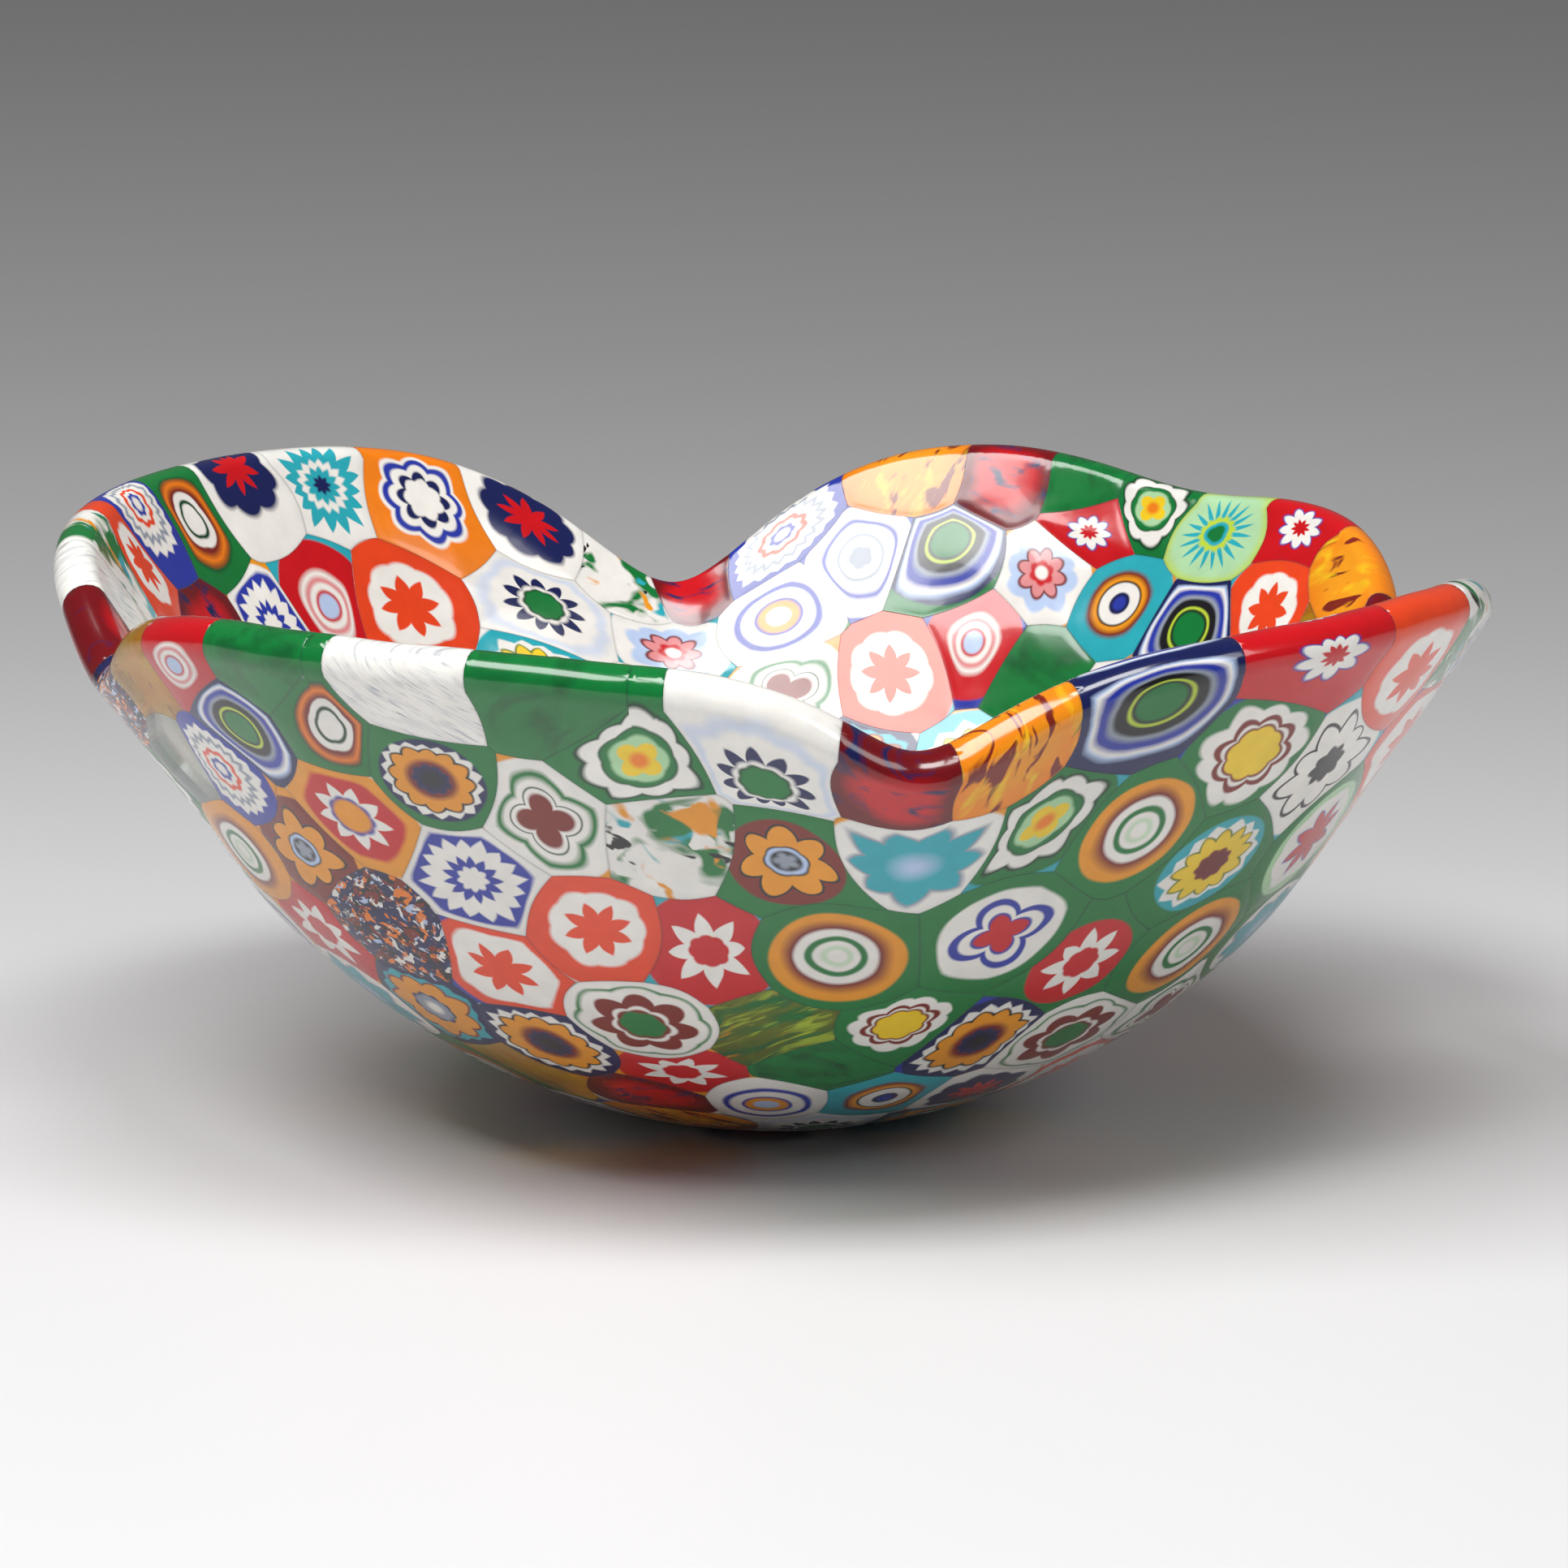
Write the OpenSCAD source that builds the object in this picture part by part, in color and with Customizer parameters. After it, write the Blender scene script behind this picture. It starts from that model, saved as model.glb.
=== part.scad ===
// Ruffled art glass bowl: slices of patterned cane fused edge to edge into one wall, slumped to a
// rounded bottom, folded in at five places round the rim and ground flat underneath.
// Millimetres, +Z up, front towards -Y. The origin is the middle of the ground foot.

/* [Bowl] */
// Radius of the rounded bottom, to the middle of the glass
bottom_radius = 58.5; // [48:0.5:71]
// Slope of the wall above the rounded bottom, in degrees
wall_slope = 57; // [47:1:66]
// Length of the wall along the glass, from the middle of the bottom to the lip
wall_length = 89.5; // [74:0.5:108]
// Thickness of the fused glass
glass_thickness = 4.4; // [3.6:0.2:5.4]
// Depth from front to back as a share of the width
depth_share = 0.96; // [0.9:0.01:1]
// Diameter of the flat foot ground on the underside
foot_diameter = 24; // [16:1:30]

/* [Front fold] */
// Turn of the front fold, anticlockwise from +X
front_turn = 281.5; // [270:0.5:290]
// How far the front fold drops the lip
front_drop = 9; // [4:0.5:13]
// How far the front fold draws the lip inward
front_pinch = 3.2; // [1:0.2:6]
// Reach of the front fold round the rim, in degrees
front_reach = 6.5; // [6:0.5:12]

/* [Right fold] */
// Turn of the right fold
right_turn = 10; // [0:0.5:16]
// How far the right fold drops the lip
right_drop = 16; // [6:0.5:18]
// How far the right fold draws the lip inward
right_pinch = 7; // [2:0.2:8]
// Reach of the right fold round the rim, in degrees
right_reach = 9; // [7:0.5:13]

/* [Shallow fold] */
// Turn of the shallow fold between the two lobes at the right
shallow_turn = 49; // [44:0.5:56]
// How far the shallow fold drops the lip
shallow_drop = 4.5; // [1:0.5:8]
// How far the shallow fold draws the lip inward
shallow_pinch = 4; // [1:0.2:6]
// Reach of the shallow fold round the rim, in degrees
shallow_reach = 12; // [8:0.5:16]

/* [Back fold] */
// Turn of the back fold
back_turn = 100; // [92:0.5:108]
// How far the back fold drops the lip
back_drop = 17; // [6:0.5:21]
// How far the back fold draws the lip inward
back_pinch = 6; // [2:0.2:8]
// Reach of the back fold round the rim, in degrees
back_reach = 9.5; // [7:0.5:13]

/* [Left fold] */
// Turn of the left fold
left_turn = 196; // [186:0.5:204]
// How far the left fold drops the lip
left_drop = 9.5; // [4:0.5:13]
// How far the left fold draws the lip inward
left_pinch = 3.4; // [1:0.2:6]
// Reach of the left fold round the rim, in degrees
left_reach = 7.5; // [6:0.5:12]

/* [Cane slices] */
// Length of one straight step along the seam between two slices
seam_step = 3.4; // [3:0.2:6]
// How far a firm slice bows into a soft neighbour, as a share of their seam
seam_bow = 0.16; // [0:0.02:0.2]
// Straight steps from the wall round to the edge of the lip
lip_steps = 3; // [2:1:4]

/* [Hidden] */
half_glass = glass_thickness / 2;
// The wall is an arc up to arc_length and straight from there to the lip.
arc_length = bottom_radius * wall_slope * PI / 180;
arc_end_radius = bottom_radius * sin(wall_slope);
// Each slice is laid out on a flat disc that shows every angle as it is on the bowl.
arc_end_disc = 2 * bottom_radius * tan(wall_slope / 2);
outer_radius = bottom_radius + half_glass;
ground_depth = outer_radius - sqrt(outer_radius ^ 2 - (foot_diameter / 2) ^ 2);
middle_height = half_glass - ground_depth;
// The lip rounds off from here to the end of the wall.
lip_start = wall_length - half_glass;
// The folds fade out at this share of the wall's length.
fold_start = 0.35;
folds = [
    [front_turn, front_drop, front_pinch, front_reach],
    [right_turn, right_drop, right_pinch, right_reach],
    [shallow_turn, shallow_drop, shallow_pinch, shallow_reach],
    [back_turn, back_drop, back_pinch, back_reach],
    [left_turn, left_drop, left_pinch, left_reach],
];

NODES = [
    "red_star", "orange_star", "disc_star", "orange_target", "green_target", "yellow_petal",
    "sunflower", "brown_cross", "brown_daisy", "yellow_wave", "blue_zigzag", "blue_cross",
    "yellow_daisy", "black_petal", "red_cross", "gold_star", "lace_wheel", "speckle",
    "olive_swirl", "turquoise_flower", "green_flower", "orange_bar", "blue_cabochon", "red_flower",
    "ribbed_white", "green_bar", "toothed_white", "dark_red", "red_oval", "green_ray",
    "blue_eye", "pink_flower", "navy_star", "orange_wave", "turquoise_star", "grey_ring",
    "blue_daisy", "white_eye", "marble", "amber", "clear_glass",
];

// Rings of slices from the middle of the bottom to the lip. Each ring gives its distance along the
// wall in percent, then its slices: the cane, its turn in degrees and its nudge outward in percent.
rings = [
    [0, [["orange_target", 0, 0]]],
    [12, [
        ["red_star", 20, 0], ["blue_zigzag", 80, 0], ["yellow_petal", 140, 1], ["brown_daisy", 202, 0],
        ["navy_star", 262, 1], ["turquoise_flower", 318, 0],
    ]],
    [24, [
        ["lace_wheel", 8, 0], ["gold_star", 38, 1], ["green_flower", 70, 0], ["clear_glass", 100, -1],
        ["red_flower", 128, 1], ["orange_wave", 158, 0], ["blue_cross", 189, 0], ["grey_ring", 220, -1],
        ["orange_bar", 247, 1], ["toothed_white", 279, 0], ["blue_daisy", 309, 1], ["yellow_daisy", 340, 0],
    ]],
    [35, [
        ["brown_cross", 2, 0], ["pink_flower", 24, 1], ["sunflower", 45, 0], ["turquoise_star", 68, -1],
        ["black_petal", 87, 1], ["orange_target", 109, 0], ["brown_daisy", 131, 0], ["green_ray", 151, 0],
        ["red_cross", 172, 0], ["yellow_wave", 193, 1], ["green_target", 212, -1], ["amber", 229, 3],
        ["dark_red", 249, -1], ["white_eye", 268, 0], ["blue_eye", 287, 0], ["navy_star", 306, -1],
        ["disc_star", 325, 0], ["marble", 344, 1],
    ]],
    [46, [
        ["yellow_petal", 8, 0], ["red_oval", 25, 1], ["blue_zigzag", 42, 0], ["olive_swirl", 59, 1],
        ["orange_star", 77, 0], ["dark_red", 95, -1], ["lace_wheel", 113, 0], ["clear_glass", 131, 0],
        ["gold_star", 149, 1], ["blue_cabochon", 167, 0], ["orange_bar", 185, 0],
        ["turquoise_flower", 205, 2], ["blue_daisy", 223, 3], ["sunflower", 239, 0],
        ["red_star", 256, -4], ["green_bar", 276, -1], ["sunflower", 295, 1],
        ["brown_daisy", 310, -1], ["brown_cross", 332, 0], ["grey_ring", 350, 0],
    ]],
    [57, [
        ["navy_star", 0, 0], ["green_flower", 16, 1], ["orange_target", 32, 0], ["brown_daisy", 48, 1],
        ["yellow_daisy", 64, 0], ["blue_daisy", 80, -1], ["red_flower", 96, 0], ["green_target", 112, 1],
        ["blue_cross", 128, 0], ["toothed_white", 144, 0], ["red_star", 160, 1], ["pink_flower", 176, 0],
        ["grey_ring", 193, 0], ["red_star", 210, 1], ["speckle", 226, 5], ["disc_star", 239, 1],
        ["brown_daisy", 254, -5], ["olive_swirl", 270, -6], ["yellow_wave", 284, -6], ["red_star", 303, 2],
        ["orange_target", 319, 1], ["turquoise_flower", 340, -2],
    ]],
    [68, [
        ["yellow_wave", 8, 0], ["sunflower", 22, 1], ["red_star", 36, 0], ["grey_ring", 48, -1],
        ["green_bar", 59, 2], ["red_oval", 68, 5], ["orange_star", 76, 1], ["brown_cross", 89, 0],
        ["orange_target", 103, 0], ["yellow_daisy", 117, 1], ["sunflower", 132, -1], ["olive_swirl", 147, 1],
        ["brown_cross", 160, 1], ["disc_star", 175, 0], ["turquoise_star", 190, 1], ["orange_target", 205, 3],
        ["yellow_petal", 219, 4], ["blue_zigzag", 241, 3], ["orange_star", 252, -3], ["red_star", 262, -5],
        ["orange_target", 276, -4], ["blue_cross", 292, -2], ["yellow_daisy", 315, 2], ["red_cross", 334, 1],
        ["gold_star", 352, 1],
    ]],
    [80, [
        ["red_flower", 5, 0], ["turquoise_flower", 14, -2], ["amber", 23, 4], ["orange_star", 32, 5],
        ["blue_cabochon", 42, -1], ["blue_eye", 52, 1], ["red_flower", 58, 11], ["pink_flower", 61, 3],
        ["blue_cabochon", 73, 3], ["grey_ring", 82, 5], ["white_eye", 89, 1], ["pink_flower", 101, -1],
        ["toothed_white", 115, -1], ["orange_star", 132, -2], ["red_oval", 142, 1], ["blue_zigzag", 151, -1],
        ["dark_red", 163, 1], ["brown_daisy", 173, -1], ["yellow_petal", 184, 0], ["green_flower", 195, 1],
        ["clear_glass", 205, 3], ["lace_wheel", 213, 1], ["blue_cabochon", 221, 9], ["gold_star", 230, -1],
        ["green_target", 231, 10], ["sunflower", 240, 6], ["brown_cross", 251, 1], ["marble", 260, 0],
        ["green_flower", 258, 9], ["yellow_petal", 271, -2], ["turquoise_flower", 283, 4],
        ["green_flower", 293, 2],
        ["orange_target", 303, -2], ["yellow_wave", 312, 6], ["black_petal", 325, 1], ["disc_star", 344, 1],
    ]],
    [94, [
        ["toothed_white", 6, 0], ["dark_red", 15, 0], ["orange_bar", 24, -1], ["red_flower", 34, 2],
        ["green_ray", 43, 0], ["green_flower", 52, 2], ["green_bar", 60, 2], ["dark_red", 68, 2],
        ["orange_bar", 77, 3], ["lace_wheel", 90, 0], ["dark_red", 98, 0], ["marble", 106, -2],
        ["navy_star", 114, 0], ["orange_wave", 125, -2], ["turquoise_star", 136, 1], ["navy_star", 145, 0],
        ["green_target", 155, -2], ["lace_wheel", 163, -1], ["orange_star", 169, -3], ["marble", 175, 0],
        ["ribbed_white", 182, 0], ["dark_red", 190, 1], ["speckle", 199, 1], ["amber", 208, 2],
        ["red_oval", 217, 3], ["green_bar", 226, 3], ["ribbed_white", 241, 2], ["green_bar", 252, 3],
        ["toothed_white", 269, 0], ["dark_red", 281, 1], ["orange_bar", 287, 1], ["blue_cabochon", 299, 1],
        ["red_flower", 315, 3], ["orange_star", 332, 0], ["marble", 343, 2], ["blue_zigzag", 354, 0],
    ]],
];

// Distance along the wall to radius on the layout disc, and back.
function disc_radius(along) =
    along <= arc_length
        ? 2 * bottom_radius * tan(along / bottom_radius * 90 / PI)
        : arc_end_disc
            * (1 + (along - arc_length) * cos(wall_slope) / arc_end_radius) ^ (1 / cos(wall_slope));
function along_wall(radius) =
    radius <= arc_end_disc
        ? bottom_radius * atan(radius / (2 * bottom_radius)) * PI / 90
        : arc_length + arc_end_radius * ((radius / arc_end_disc) ^ cos(wall_slope) - 1) / cos(wall_slope);

// How strongly a fold acts at a turn round the rim: 1 in the fold, fading to 0 on both sides.
function fold_share(turn, fold) =
    let (
        gap = (turn - fold[0] + 540) % 360 - 180,
        x = gap / fold[3]
    ) 2 / (exp(x) + exp(-x));

// The middle of the glass at a point of the layout disc.
function glass_middle(p) =
    let (
        along = along_wall(norm(p)),
        turn = atan2(p.y, p.x),
        bend = min(along / bottom_radius * 180 / PI, wall_slope),
        straight = max(along - arc_length, 0),
        shares = [for (fold = folds) fold_share(turn, fold)],
        growth = max((along / wall_length - fold_start) / (1 - fold_start), 0) ^ 2,
        pinch = growth * ([for (fold = folds) fold[2]] * shares),
        drop = growth * ([for (fold = folds) fold[1]] * shares),
        radius = bottom_radius * sin(bend) + straight * cos(wall_slope) - pinch,
        height = middle_height + bottom_radius * (1 - cos(bend)) + straight * sin(wall_slope) - drop
    ) [radius * cos(turn), radius * sin(turn) * depth_share, height];

// A point of the glass at a distance inward (or, where negative, outward) from its middle.
function glass_point(p, inward) =
    let (
        e = 0.01,
        n = cross(
            glass_middle(p + [e, 0]) - glass_middle(p - [e, 0]),
            glass_middle(p + [0, e]) - glass_middle(p - [0, e])
        )
    ) glass_middle(p) + inward * n / norm(n);

// Where the slices sit on the layout disc, and how firm each cane is while it is hot.
sites = [
    for (ring = rings, slice = ring[1])
        let (radius = disc_radius((ring[0] + slice[2]) / 100 * wall_length))
            [radius * cos(slice[1]), radius * sin(slice[1])]
];
canes = [for (ring = rings, slice = ring[1]) slice[0]];
firmness = [for (cane = canes) (search([cane], NODES)[0] * 0.618) % 1];

// Sites mirrored outside the lip end the slices there.
lip_disc = disc_radius(lip_start);
mirrored = [for (s = sites) if (norm(s) > lip_disc * 0.6) s * (lip_disc / norm(s)) ^ 2];
all_sites = concat(sites, mirrored);
// A slice that reaches the foot sits no farther from it than this.
largest_slice = 0.2 * wall_length;
// No neighbour is farther away on the layout disc than this.
neighbour_reach = lip_disc / 2;

function is_rim(label) = label >= len(sites);

// One cell is a list of [corner, number of the site across the edge that starts there].
function clipped(cell, site, other, label) =
    let (
        normal = other - site,
        limit = (other + site) / 2 * normal,
        n = len(cell)
    ) [
        for (k = [0:n - 1])
            let (
                a = cell[k][0],
                b = cell[(k + 1) % n][0],
                da = a * normal - limit,
                db = b * normal - limit,
                crossing = a + (b - a) * (abs(da - db) < 1e-12 ? 0 : da / (da - db))
            )
                each da <= 0
                    ? db <= 0 ? [cell[k]] : [cell[k], [crossing, label]]
                    : db <= 0 ? [[crossing, cell[k][1]]] : []
    ];
function clipped_by_all(cell, i, others, k = 0) =
    k == len(others)
        ? cell
        : clipped_by_all(clipped(cell, sites[i], all_sites[others[k]], others[k]), i, others, k + 1);
function cell_of(i) =
    let (
        reach = neighbour_reach / 2,
        start = [
            for (corner = [[-1, -1], [1, -1], [1, 1], [-1, 1]]) [sites[i] + reach * corner, i]
        ],
        others = [
            for (j = [0:len(all_sites) - 1])
                if (j != i && norm(all_sites[j] - sites[i]) < neighbour_reach) j
        ]
    ) clipped_by_all(start, i, others);

function at_lip(p) = p * lip_disc / norm(p);

// The seam round a slice, in short steps. It bows towards the softer of two slices.
function outline_of(i) =
    let (
        cell = cell_of(i),
        n = len(cell),
        corners = [
            for (k = [0:n - 1])
                is_rim(cell[k][1]) || is_rim(cell[(k + n - 1) % n][1])
                    ? [at_lip(cell[k][0]), true]
                    : [cell[k][0], false]
        ]
    ) [
        for (k = [0:n - 1])
            let (
                a = corners[k][0],
                b = corners[(k + 1) % n][0],
                label = cell[k][1],
                span = b - a,
                real_length = norm(glass_middle(b) - glass_middle(a)),
                steps = max(1, round(real_length / seam_step)),
                bow = is_rim(label) ? 0 : seam_bow * (firmness[i] - firmness[label])
            )
                for (step = [0:steps - 1])
                    let (p = a + span * step / steps + [span.y, -span.x] * bow * sin(180 * step / steps))
                        is_rim(label) ? [at_lip(p), true] : [p, step == 0 && corners[k][1]]
    ];

// The outline starts where it reaches the lip, if it does.
function turned_outline(i) =
    let (
        outline = outline_of(i),
        n = len(outline),
        starts = [for (k = [0:n - 1]) if (outline[k][1] && !outline[(k + n - 1) % n][1]) k],
        first = len(starts) > 0 ? starts[0] : 0
    ) [for (k = [0:n - 1]) outline[(k + first) % n]];

function quad(a, b, c, d) = [[a, b, c], [a, c, d]];
function real_faces(faces) = [for (f = faces) if (f[0] != f[1] && f[1] != f[2] && f[2] != f[0]) f];

// One slice through the whole wall: a fan and, where the wall is folded, a band on each side, a
// seam all round, and the rounded lip where the slice reaches it.
module slice(i) {
    outline = turned_outline(i);
    n = len(outline);
    corners = [for (o = outline) o[0]];
    lip_count = len([for (o = outline) if (o[1]) o]);
    centre = [for (axis = [0, 1]) [for (c = corners) c[axis]] * [for (c = corners) 1] / n];
    loops = norm(sites[i]) > lip_disc * 0.5 ? [0.55, 1] : [1];
    loop_count = len(loops);

    // Points: the two middles, then each loop's inner and outer points, then the lip's rows.
    function loop_index(loop, k, side) = 2 + (loop * n + k % n) * 2 + side;
    lip_base = 2 + loop_count * n * 2;
    function lip_index(row, k, side) =
        row == 0
            ? loop_index(loop_count - 1, k, side)
            : row < lip_steps
                ? lip_base + ((row - 1) * lip_count + k) * 2 + side
                : lip_base + (lip_steps - 1) * lip_count * 2 + k;

    points = concat(
        [for (inward = [half_glass, -half_glass]) glass_point(centre, inward)],
        [for (s = loops, c = corners, inward = [half_glass, -half_glass])
            glass_point(centre + (c - centre) * s, inward)],
        lip_count == 0 ? [] : [
            for (row = [1:lip_steps])
                let (angle = 90 * row / lip_steps, radius = disc_radius(lip_start + half_glass * sin(angle)))
                    for (k = [0:lip_count - 1], side = row < lip_steps ? [1, -1] : [0])
                        glass_point(corners[k] * radius / lip_disc, side * half_glass * cos(angle))
        ]
    );

    fans = [for (k = [0:n - 1]) each [
        [0, loop_index(0, k + 1, 0), loop_index(0, k, 0)],
        [1, loop_index(0, k, 1), loop_index(0, k + 1, 1)]
    ]];
    bands = loop_count < 2 ? [] : [for (loop = [0:loop_count - 2], k = [0:n - 1]) each concat(
        quad(loop_index(loop, k, 0), loop_index(loop, k + 1, 0),
            loop_index(loop + 1, k + 1, 0), loop_index(loop + 1, k, 0)),
        quad(loop_index(loop, k, 1), loop_index(loop + 1, k, 1),
            loop_index(loop + 1, k + 1, 1), loop_index(loop, k + 1, 1))
    )];
    // Both slices at a seam split it along the same diagonals, so that they meet face to face.
    last = loop_count - 1;
    seams = [for (k = [max(lip_count - 1, 0):n - 1]) each
        corners[k] * [1, 0.37] < corners[(k + 1) % n] * [1, 0.37]
            ? quad(loop_index(last, k, 0), loop_index(last, k + 1, 0),
                loop_index(last, k + 1, 1), loop_index(last, k, 1))
            : quad(loop_index(last, k + 1, 0), loop_index(last, k + 1, 1),
                loop_index(last, k, 1), loop_index(last, k, 0))
    ];
    lips = lip_count == 0 ? [] : [for (row = [0:lip_steps - 1]) each concat(
        [for (k = [0:lip_count - 2]) each concat(
            quad(lip_index(row, k, 0), lip_index(row, k + 1, 0),
                lip_index(row + 1, k + 1, 0), lip_index(row + 1, k, 0)),
            quad(lip_index(row, k, 1), lip_index(row + 1, k, 1),
                lip_index(row + 1, k + 1, 1), lip_index(row, k + 1, 1))
        )],
        quad(lip_index(row, 0, 0), lip_index(row + 1, 0, 0),
            lip_index(row + 1, 0, 1), lip_index(row, 0, 1)),
        let (k = lip_count - 1)
            quad(lip_index(row + 1, k, 1), lip_index(row + 1, k, 0),
                lip_index(row, k, 0), lip_index(row, k, 1))
    )];
    polyhedron(points, real_faces(concat(fans, bands, seams, lips)), convexity = 4);
}

// Everything below the plane of the foot is ground away.
module ground_slice(i) {
    reach = foot_diameter / 2 + largest_slice;
    if (norm(glass_middle(sites[i])) < reach)
        difference() {
            slice(i);
            translate([0, 0, -glass_thickness])
                cube([4 * foot_diameter, 4 * foot_diameter, 2 * glass_thickness], center = true);
        }
    else slice(i);
}

// All slices cut from one cane.
module slices_of(cane)
    for (i = [0:len(sites) - 1])
        if (canes[i] == cane) ground_slice(i);

module red_star() color("#c81414") slices_of("red_star");
module orange_star() color("#e8551c") slices_of("orange_star");
module disc_star() color("#ee7a45") slices_of("disc_star");
module orange_target() color("#d9651e") slices_of("orange_target");
module green_target() color("#1f8a3c") slices_of("green_target");
module yellow_petal() color("#e0951a") slices_of("yellow_petal");
module sunflower() color("#e08a1c") slices_of("sunflower");
module brown_cross() color("#8a2f20") slices_of("brown_cross");
module brown_daisy() color("#7d2a22") slices_of("brown_daisy");
module yellow_wave() color("#c9b12a") slices_of("yellow_wave");
module blue_zigzag() color("#2b3f9e") slices_of("blue_zigzag");
module blue_cross() color("#24308c") slices_of("blue_cross");
module yellow_daisy() color("#e6c41e") slices_of("yellow_daisy");
module black_petal() color("#3a3936") slices_of("black_petal");
module red_cross() color("#d94a3c") slices_of("red_cross");
module gold_star() color("#e0a326") slices_of("gold_star");
module lace_wheel() color("#a9b0cc") slices_of("lace_wheel");
module speckle() color("#5a4a58") slices_of("speckle");
module olive_swirl() color("#6e7f24") slices_of("olive_swirl");
module turquoise_flower() color("#3fb3bf") slices_of("turquoise_flower");
module green_flower() color("#7fb36a") slices_of("green_flower");
module orange_bar() color("#e8890f") slices_of("orange_bar");
module blue_cabochon() color("#2c3f86") slices_of("blue_cabochon");
module red_flower() color("#cf1f1f") slices_of("red_flower");
module ribbed_white() color("#e9ebe8") slices_of("ribbed_white");
module green_bar() color("#14803a") slices_of("green_bar");
module toothed_white() color("#dfe8ec") slices_of("toothed_white");
module dark_red() color("#7d1018") slices_of("dark_red");
module red_oval() color("#d5303a") slices_of("red_oval");
module green_ray() color("#b9d46a") slices_of("green_ray");
module blue_eye() color("#2b9fae") slices_of("blue_eye");
module pink_flower() color("#d98a8a") slices_of("pink_flower");
module navy_star() color("#1c2a78") slices_of("navy_star");
module orange_wave() color("#e5701a") slices_of("orange_wave");
module turquoise_star() color("#58bcd2") slices_of("turquoise_star");
module grey_ring() color("#a8adb4") slices_of("grey_ring");
module blue_daisy() color("#c9802a") slices_of("blue_daisy");
module white_eye() color("#cfd6e6") slices_of("white_eye");
module marble() color("#5f8f72") slices_of("marble");
module amber() color("#d99a2e") slices_of("amber");
module clear_glass() color("#dfeee8") slices_of("clear_glass");

red_star();
orange_star();
disc_star();
orange_target();
green_target();
yellow_petal();
sunflower();
brown_cross();
brown_daisy();
yellow_wave();
blue_zigzag();
blue_cross();
yellow_daisy();
black_petal();
red_cross();
gold_star();
lace_wheel();
speckle();
olive_swirl();
turquoise_flower();
green_flower();
orange_bar();
blue_cabochon();
red_flower();
ribbed_white();
green_bar();
toothed_white();
dark_red();
red_oval();
green_ray();
blue_eye();
pink_flower();
navy_star();
orange_wave();
turquoise_star();
grey_ring();
blue_daisy();
white_eye();
marble();
amber();
clear_glass();
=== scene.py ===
import math
import bpy
import numpy as np
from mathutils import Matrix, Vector


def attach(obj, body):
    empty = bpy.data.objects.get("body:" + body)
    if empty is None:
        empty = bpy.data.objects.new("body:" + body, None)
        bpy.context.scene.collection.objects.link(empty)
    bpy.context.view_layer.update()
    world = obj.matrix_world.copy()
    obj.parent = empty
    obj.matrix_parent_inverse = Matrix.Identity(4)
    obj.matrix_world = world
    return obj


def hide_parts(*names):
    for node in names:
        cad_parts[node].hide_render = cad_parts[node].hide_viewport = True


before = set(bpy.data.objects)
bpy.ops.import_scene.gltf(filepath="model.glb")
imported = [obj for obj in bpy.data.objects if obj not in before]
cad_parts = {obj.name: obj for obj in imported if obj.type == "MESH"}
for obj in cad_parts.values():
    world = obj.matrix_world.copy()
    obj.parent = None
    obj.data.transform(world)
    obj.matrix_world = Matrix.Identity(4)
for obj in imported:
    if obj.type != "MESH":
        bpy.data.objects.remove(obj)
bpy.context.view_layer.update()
print("frame loaded:", len(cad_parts), "canes")

# The bowl's own measures in millimetres and degrees, the same as the part's.
bowl = {
    "bottomRadius": 58.5,
    "wallSlope": 57.0,
    "wallLength": 89.5,
    "glassThickness": 4.4,
    "depthShare": 0.96,
    "footDiameter": 24.0,
    "foldStart": 0.35,
    "seamBow": 0.16,
    # turn, drop, pinch and reach of each fold in the rim
    "folds": [(281.5, 9, 3.2, 6.5), (10, 16, 7, 9), (49, 4.5, 4, 12), (100, 17, 6, 9.5),
              (196, 9.5, 3.4, 7.5)],
}
bottomRadius = bowl["bottomRadius"]
slope = math.radians(bowl["wallSlope"])
halfGlass = bowl["glassThickness"] / 2
arcLength = bottomRadius * slope
arcEndRadius = bottomRadius * math.sin(slope)
arcEndDisc = 2 * bottomRadius * math.tan(slope / 2)
outerRadius = bottomRadius + halfGlass
middleHeight = halfGlass - (outerRadius - math.sqrt(outerRadius ** 2 - (bowl["footDiameter"] / 2) ** 2))
lipStart = bowl["wallLength"] - halfGlass

# How the fused and fire-polished glass differs from the plain wall, in millimetres.
surface = {
    "ripple": 0.14,  # slow swell of the wall
    "crown": 0.07,  # how far the middle of a slice stands proud
    "crownLeast": 0.4,  # share of the crown that every slice has
    "crownSpread": 1.2,  # share that comes by luck
    "crownRise": 2.5,  # distance from the seam over which it rises
    "calmLip": 7.0,  # the fire-polished band along the lip with no crowns
    "groove": 0.035,  # depth of the seam between two slices
    "grooveWidth": 0.5,
    "seamStep": 0.75,  # one step along a seam
    "sameCorner": 0.02,  # corners closer than this are one
    "lipSteps": 6,  # places round the lip's half circle, its two ends counted
    "rows": 17,  # rows from a slice's middle to its seam
    "rowGather": 1.8,  # power that draws the rows together at the seam
}

# How a slice's pattern was moved and reshaped by the heat, as shares of the slice or of the wall.
firing = {
    "wander": 0.06,  # how far a pattern sits off its slice's middle
    "squeeze": 0.36,  # how much of its slice's oval a pattern takes on
    "roundTo": 0.3,  # share of the radius inside which a pattern stays round
    "fillerRoom": 0.16,  # how much smaller a cane is where other glass fills the gaps
    "innerHeat": 0.7,  # heat of the whole inside, where the lip has one
    "meltStart": 0.80,  # share of the wall where the lip's heat begins
    "meltRise": 0.14,  # and over which it grows to one
    "lipMargin": 0.004,  # least turn in radians between a middle and the end of its slice's lip
}

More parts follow.
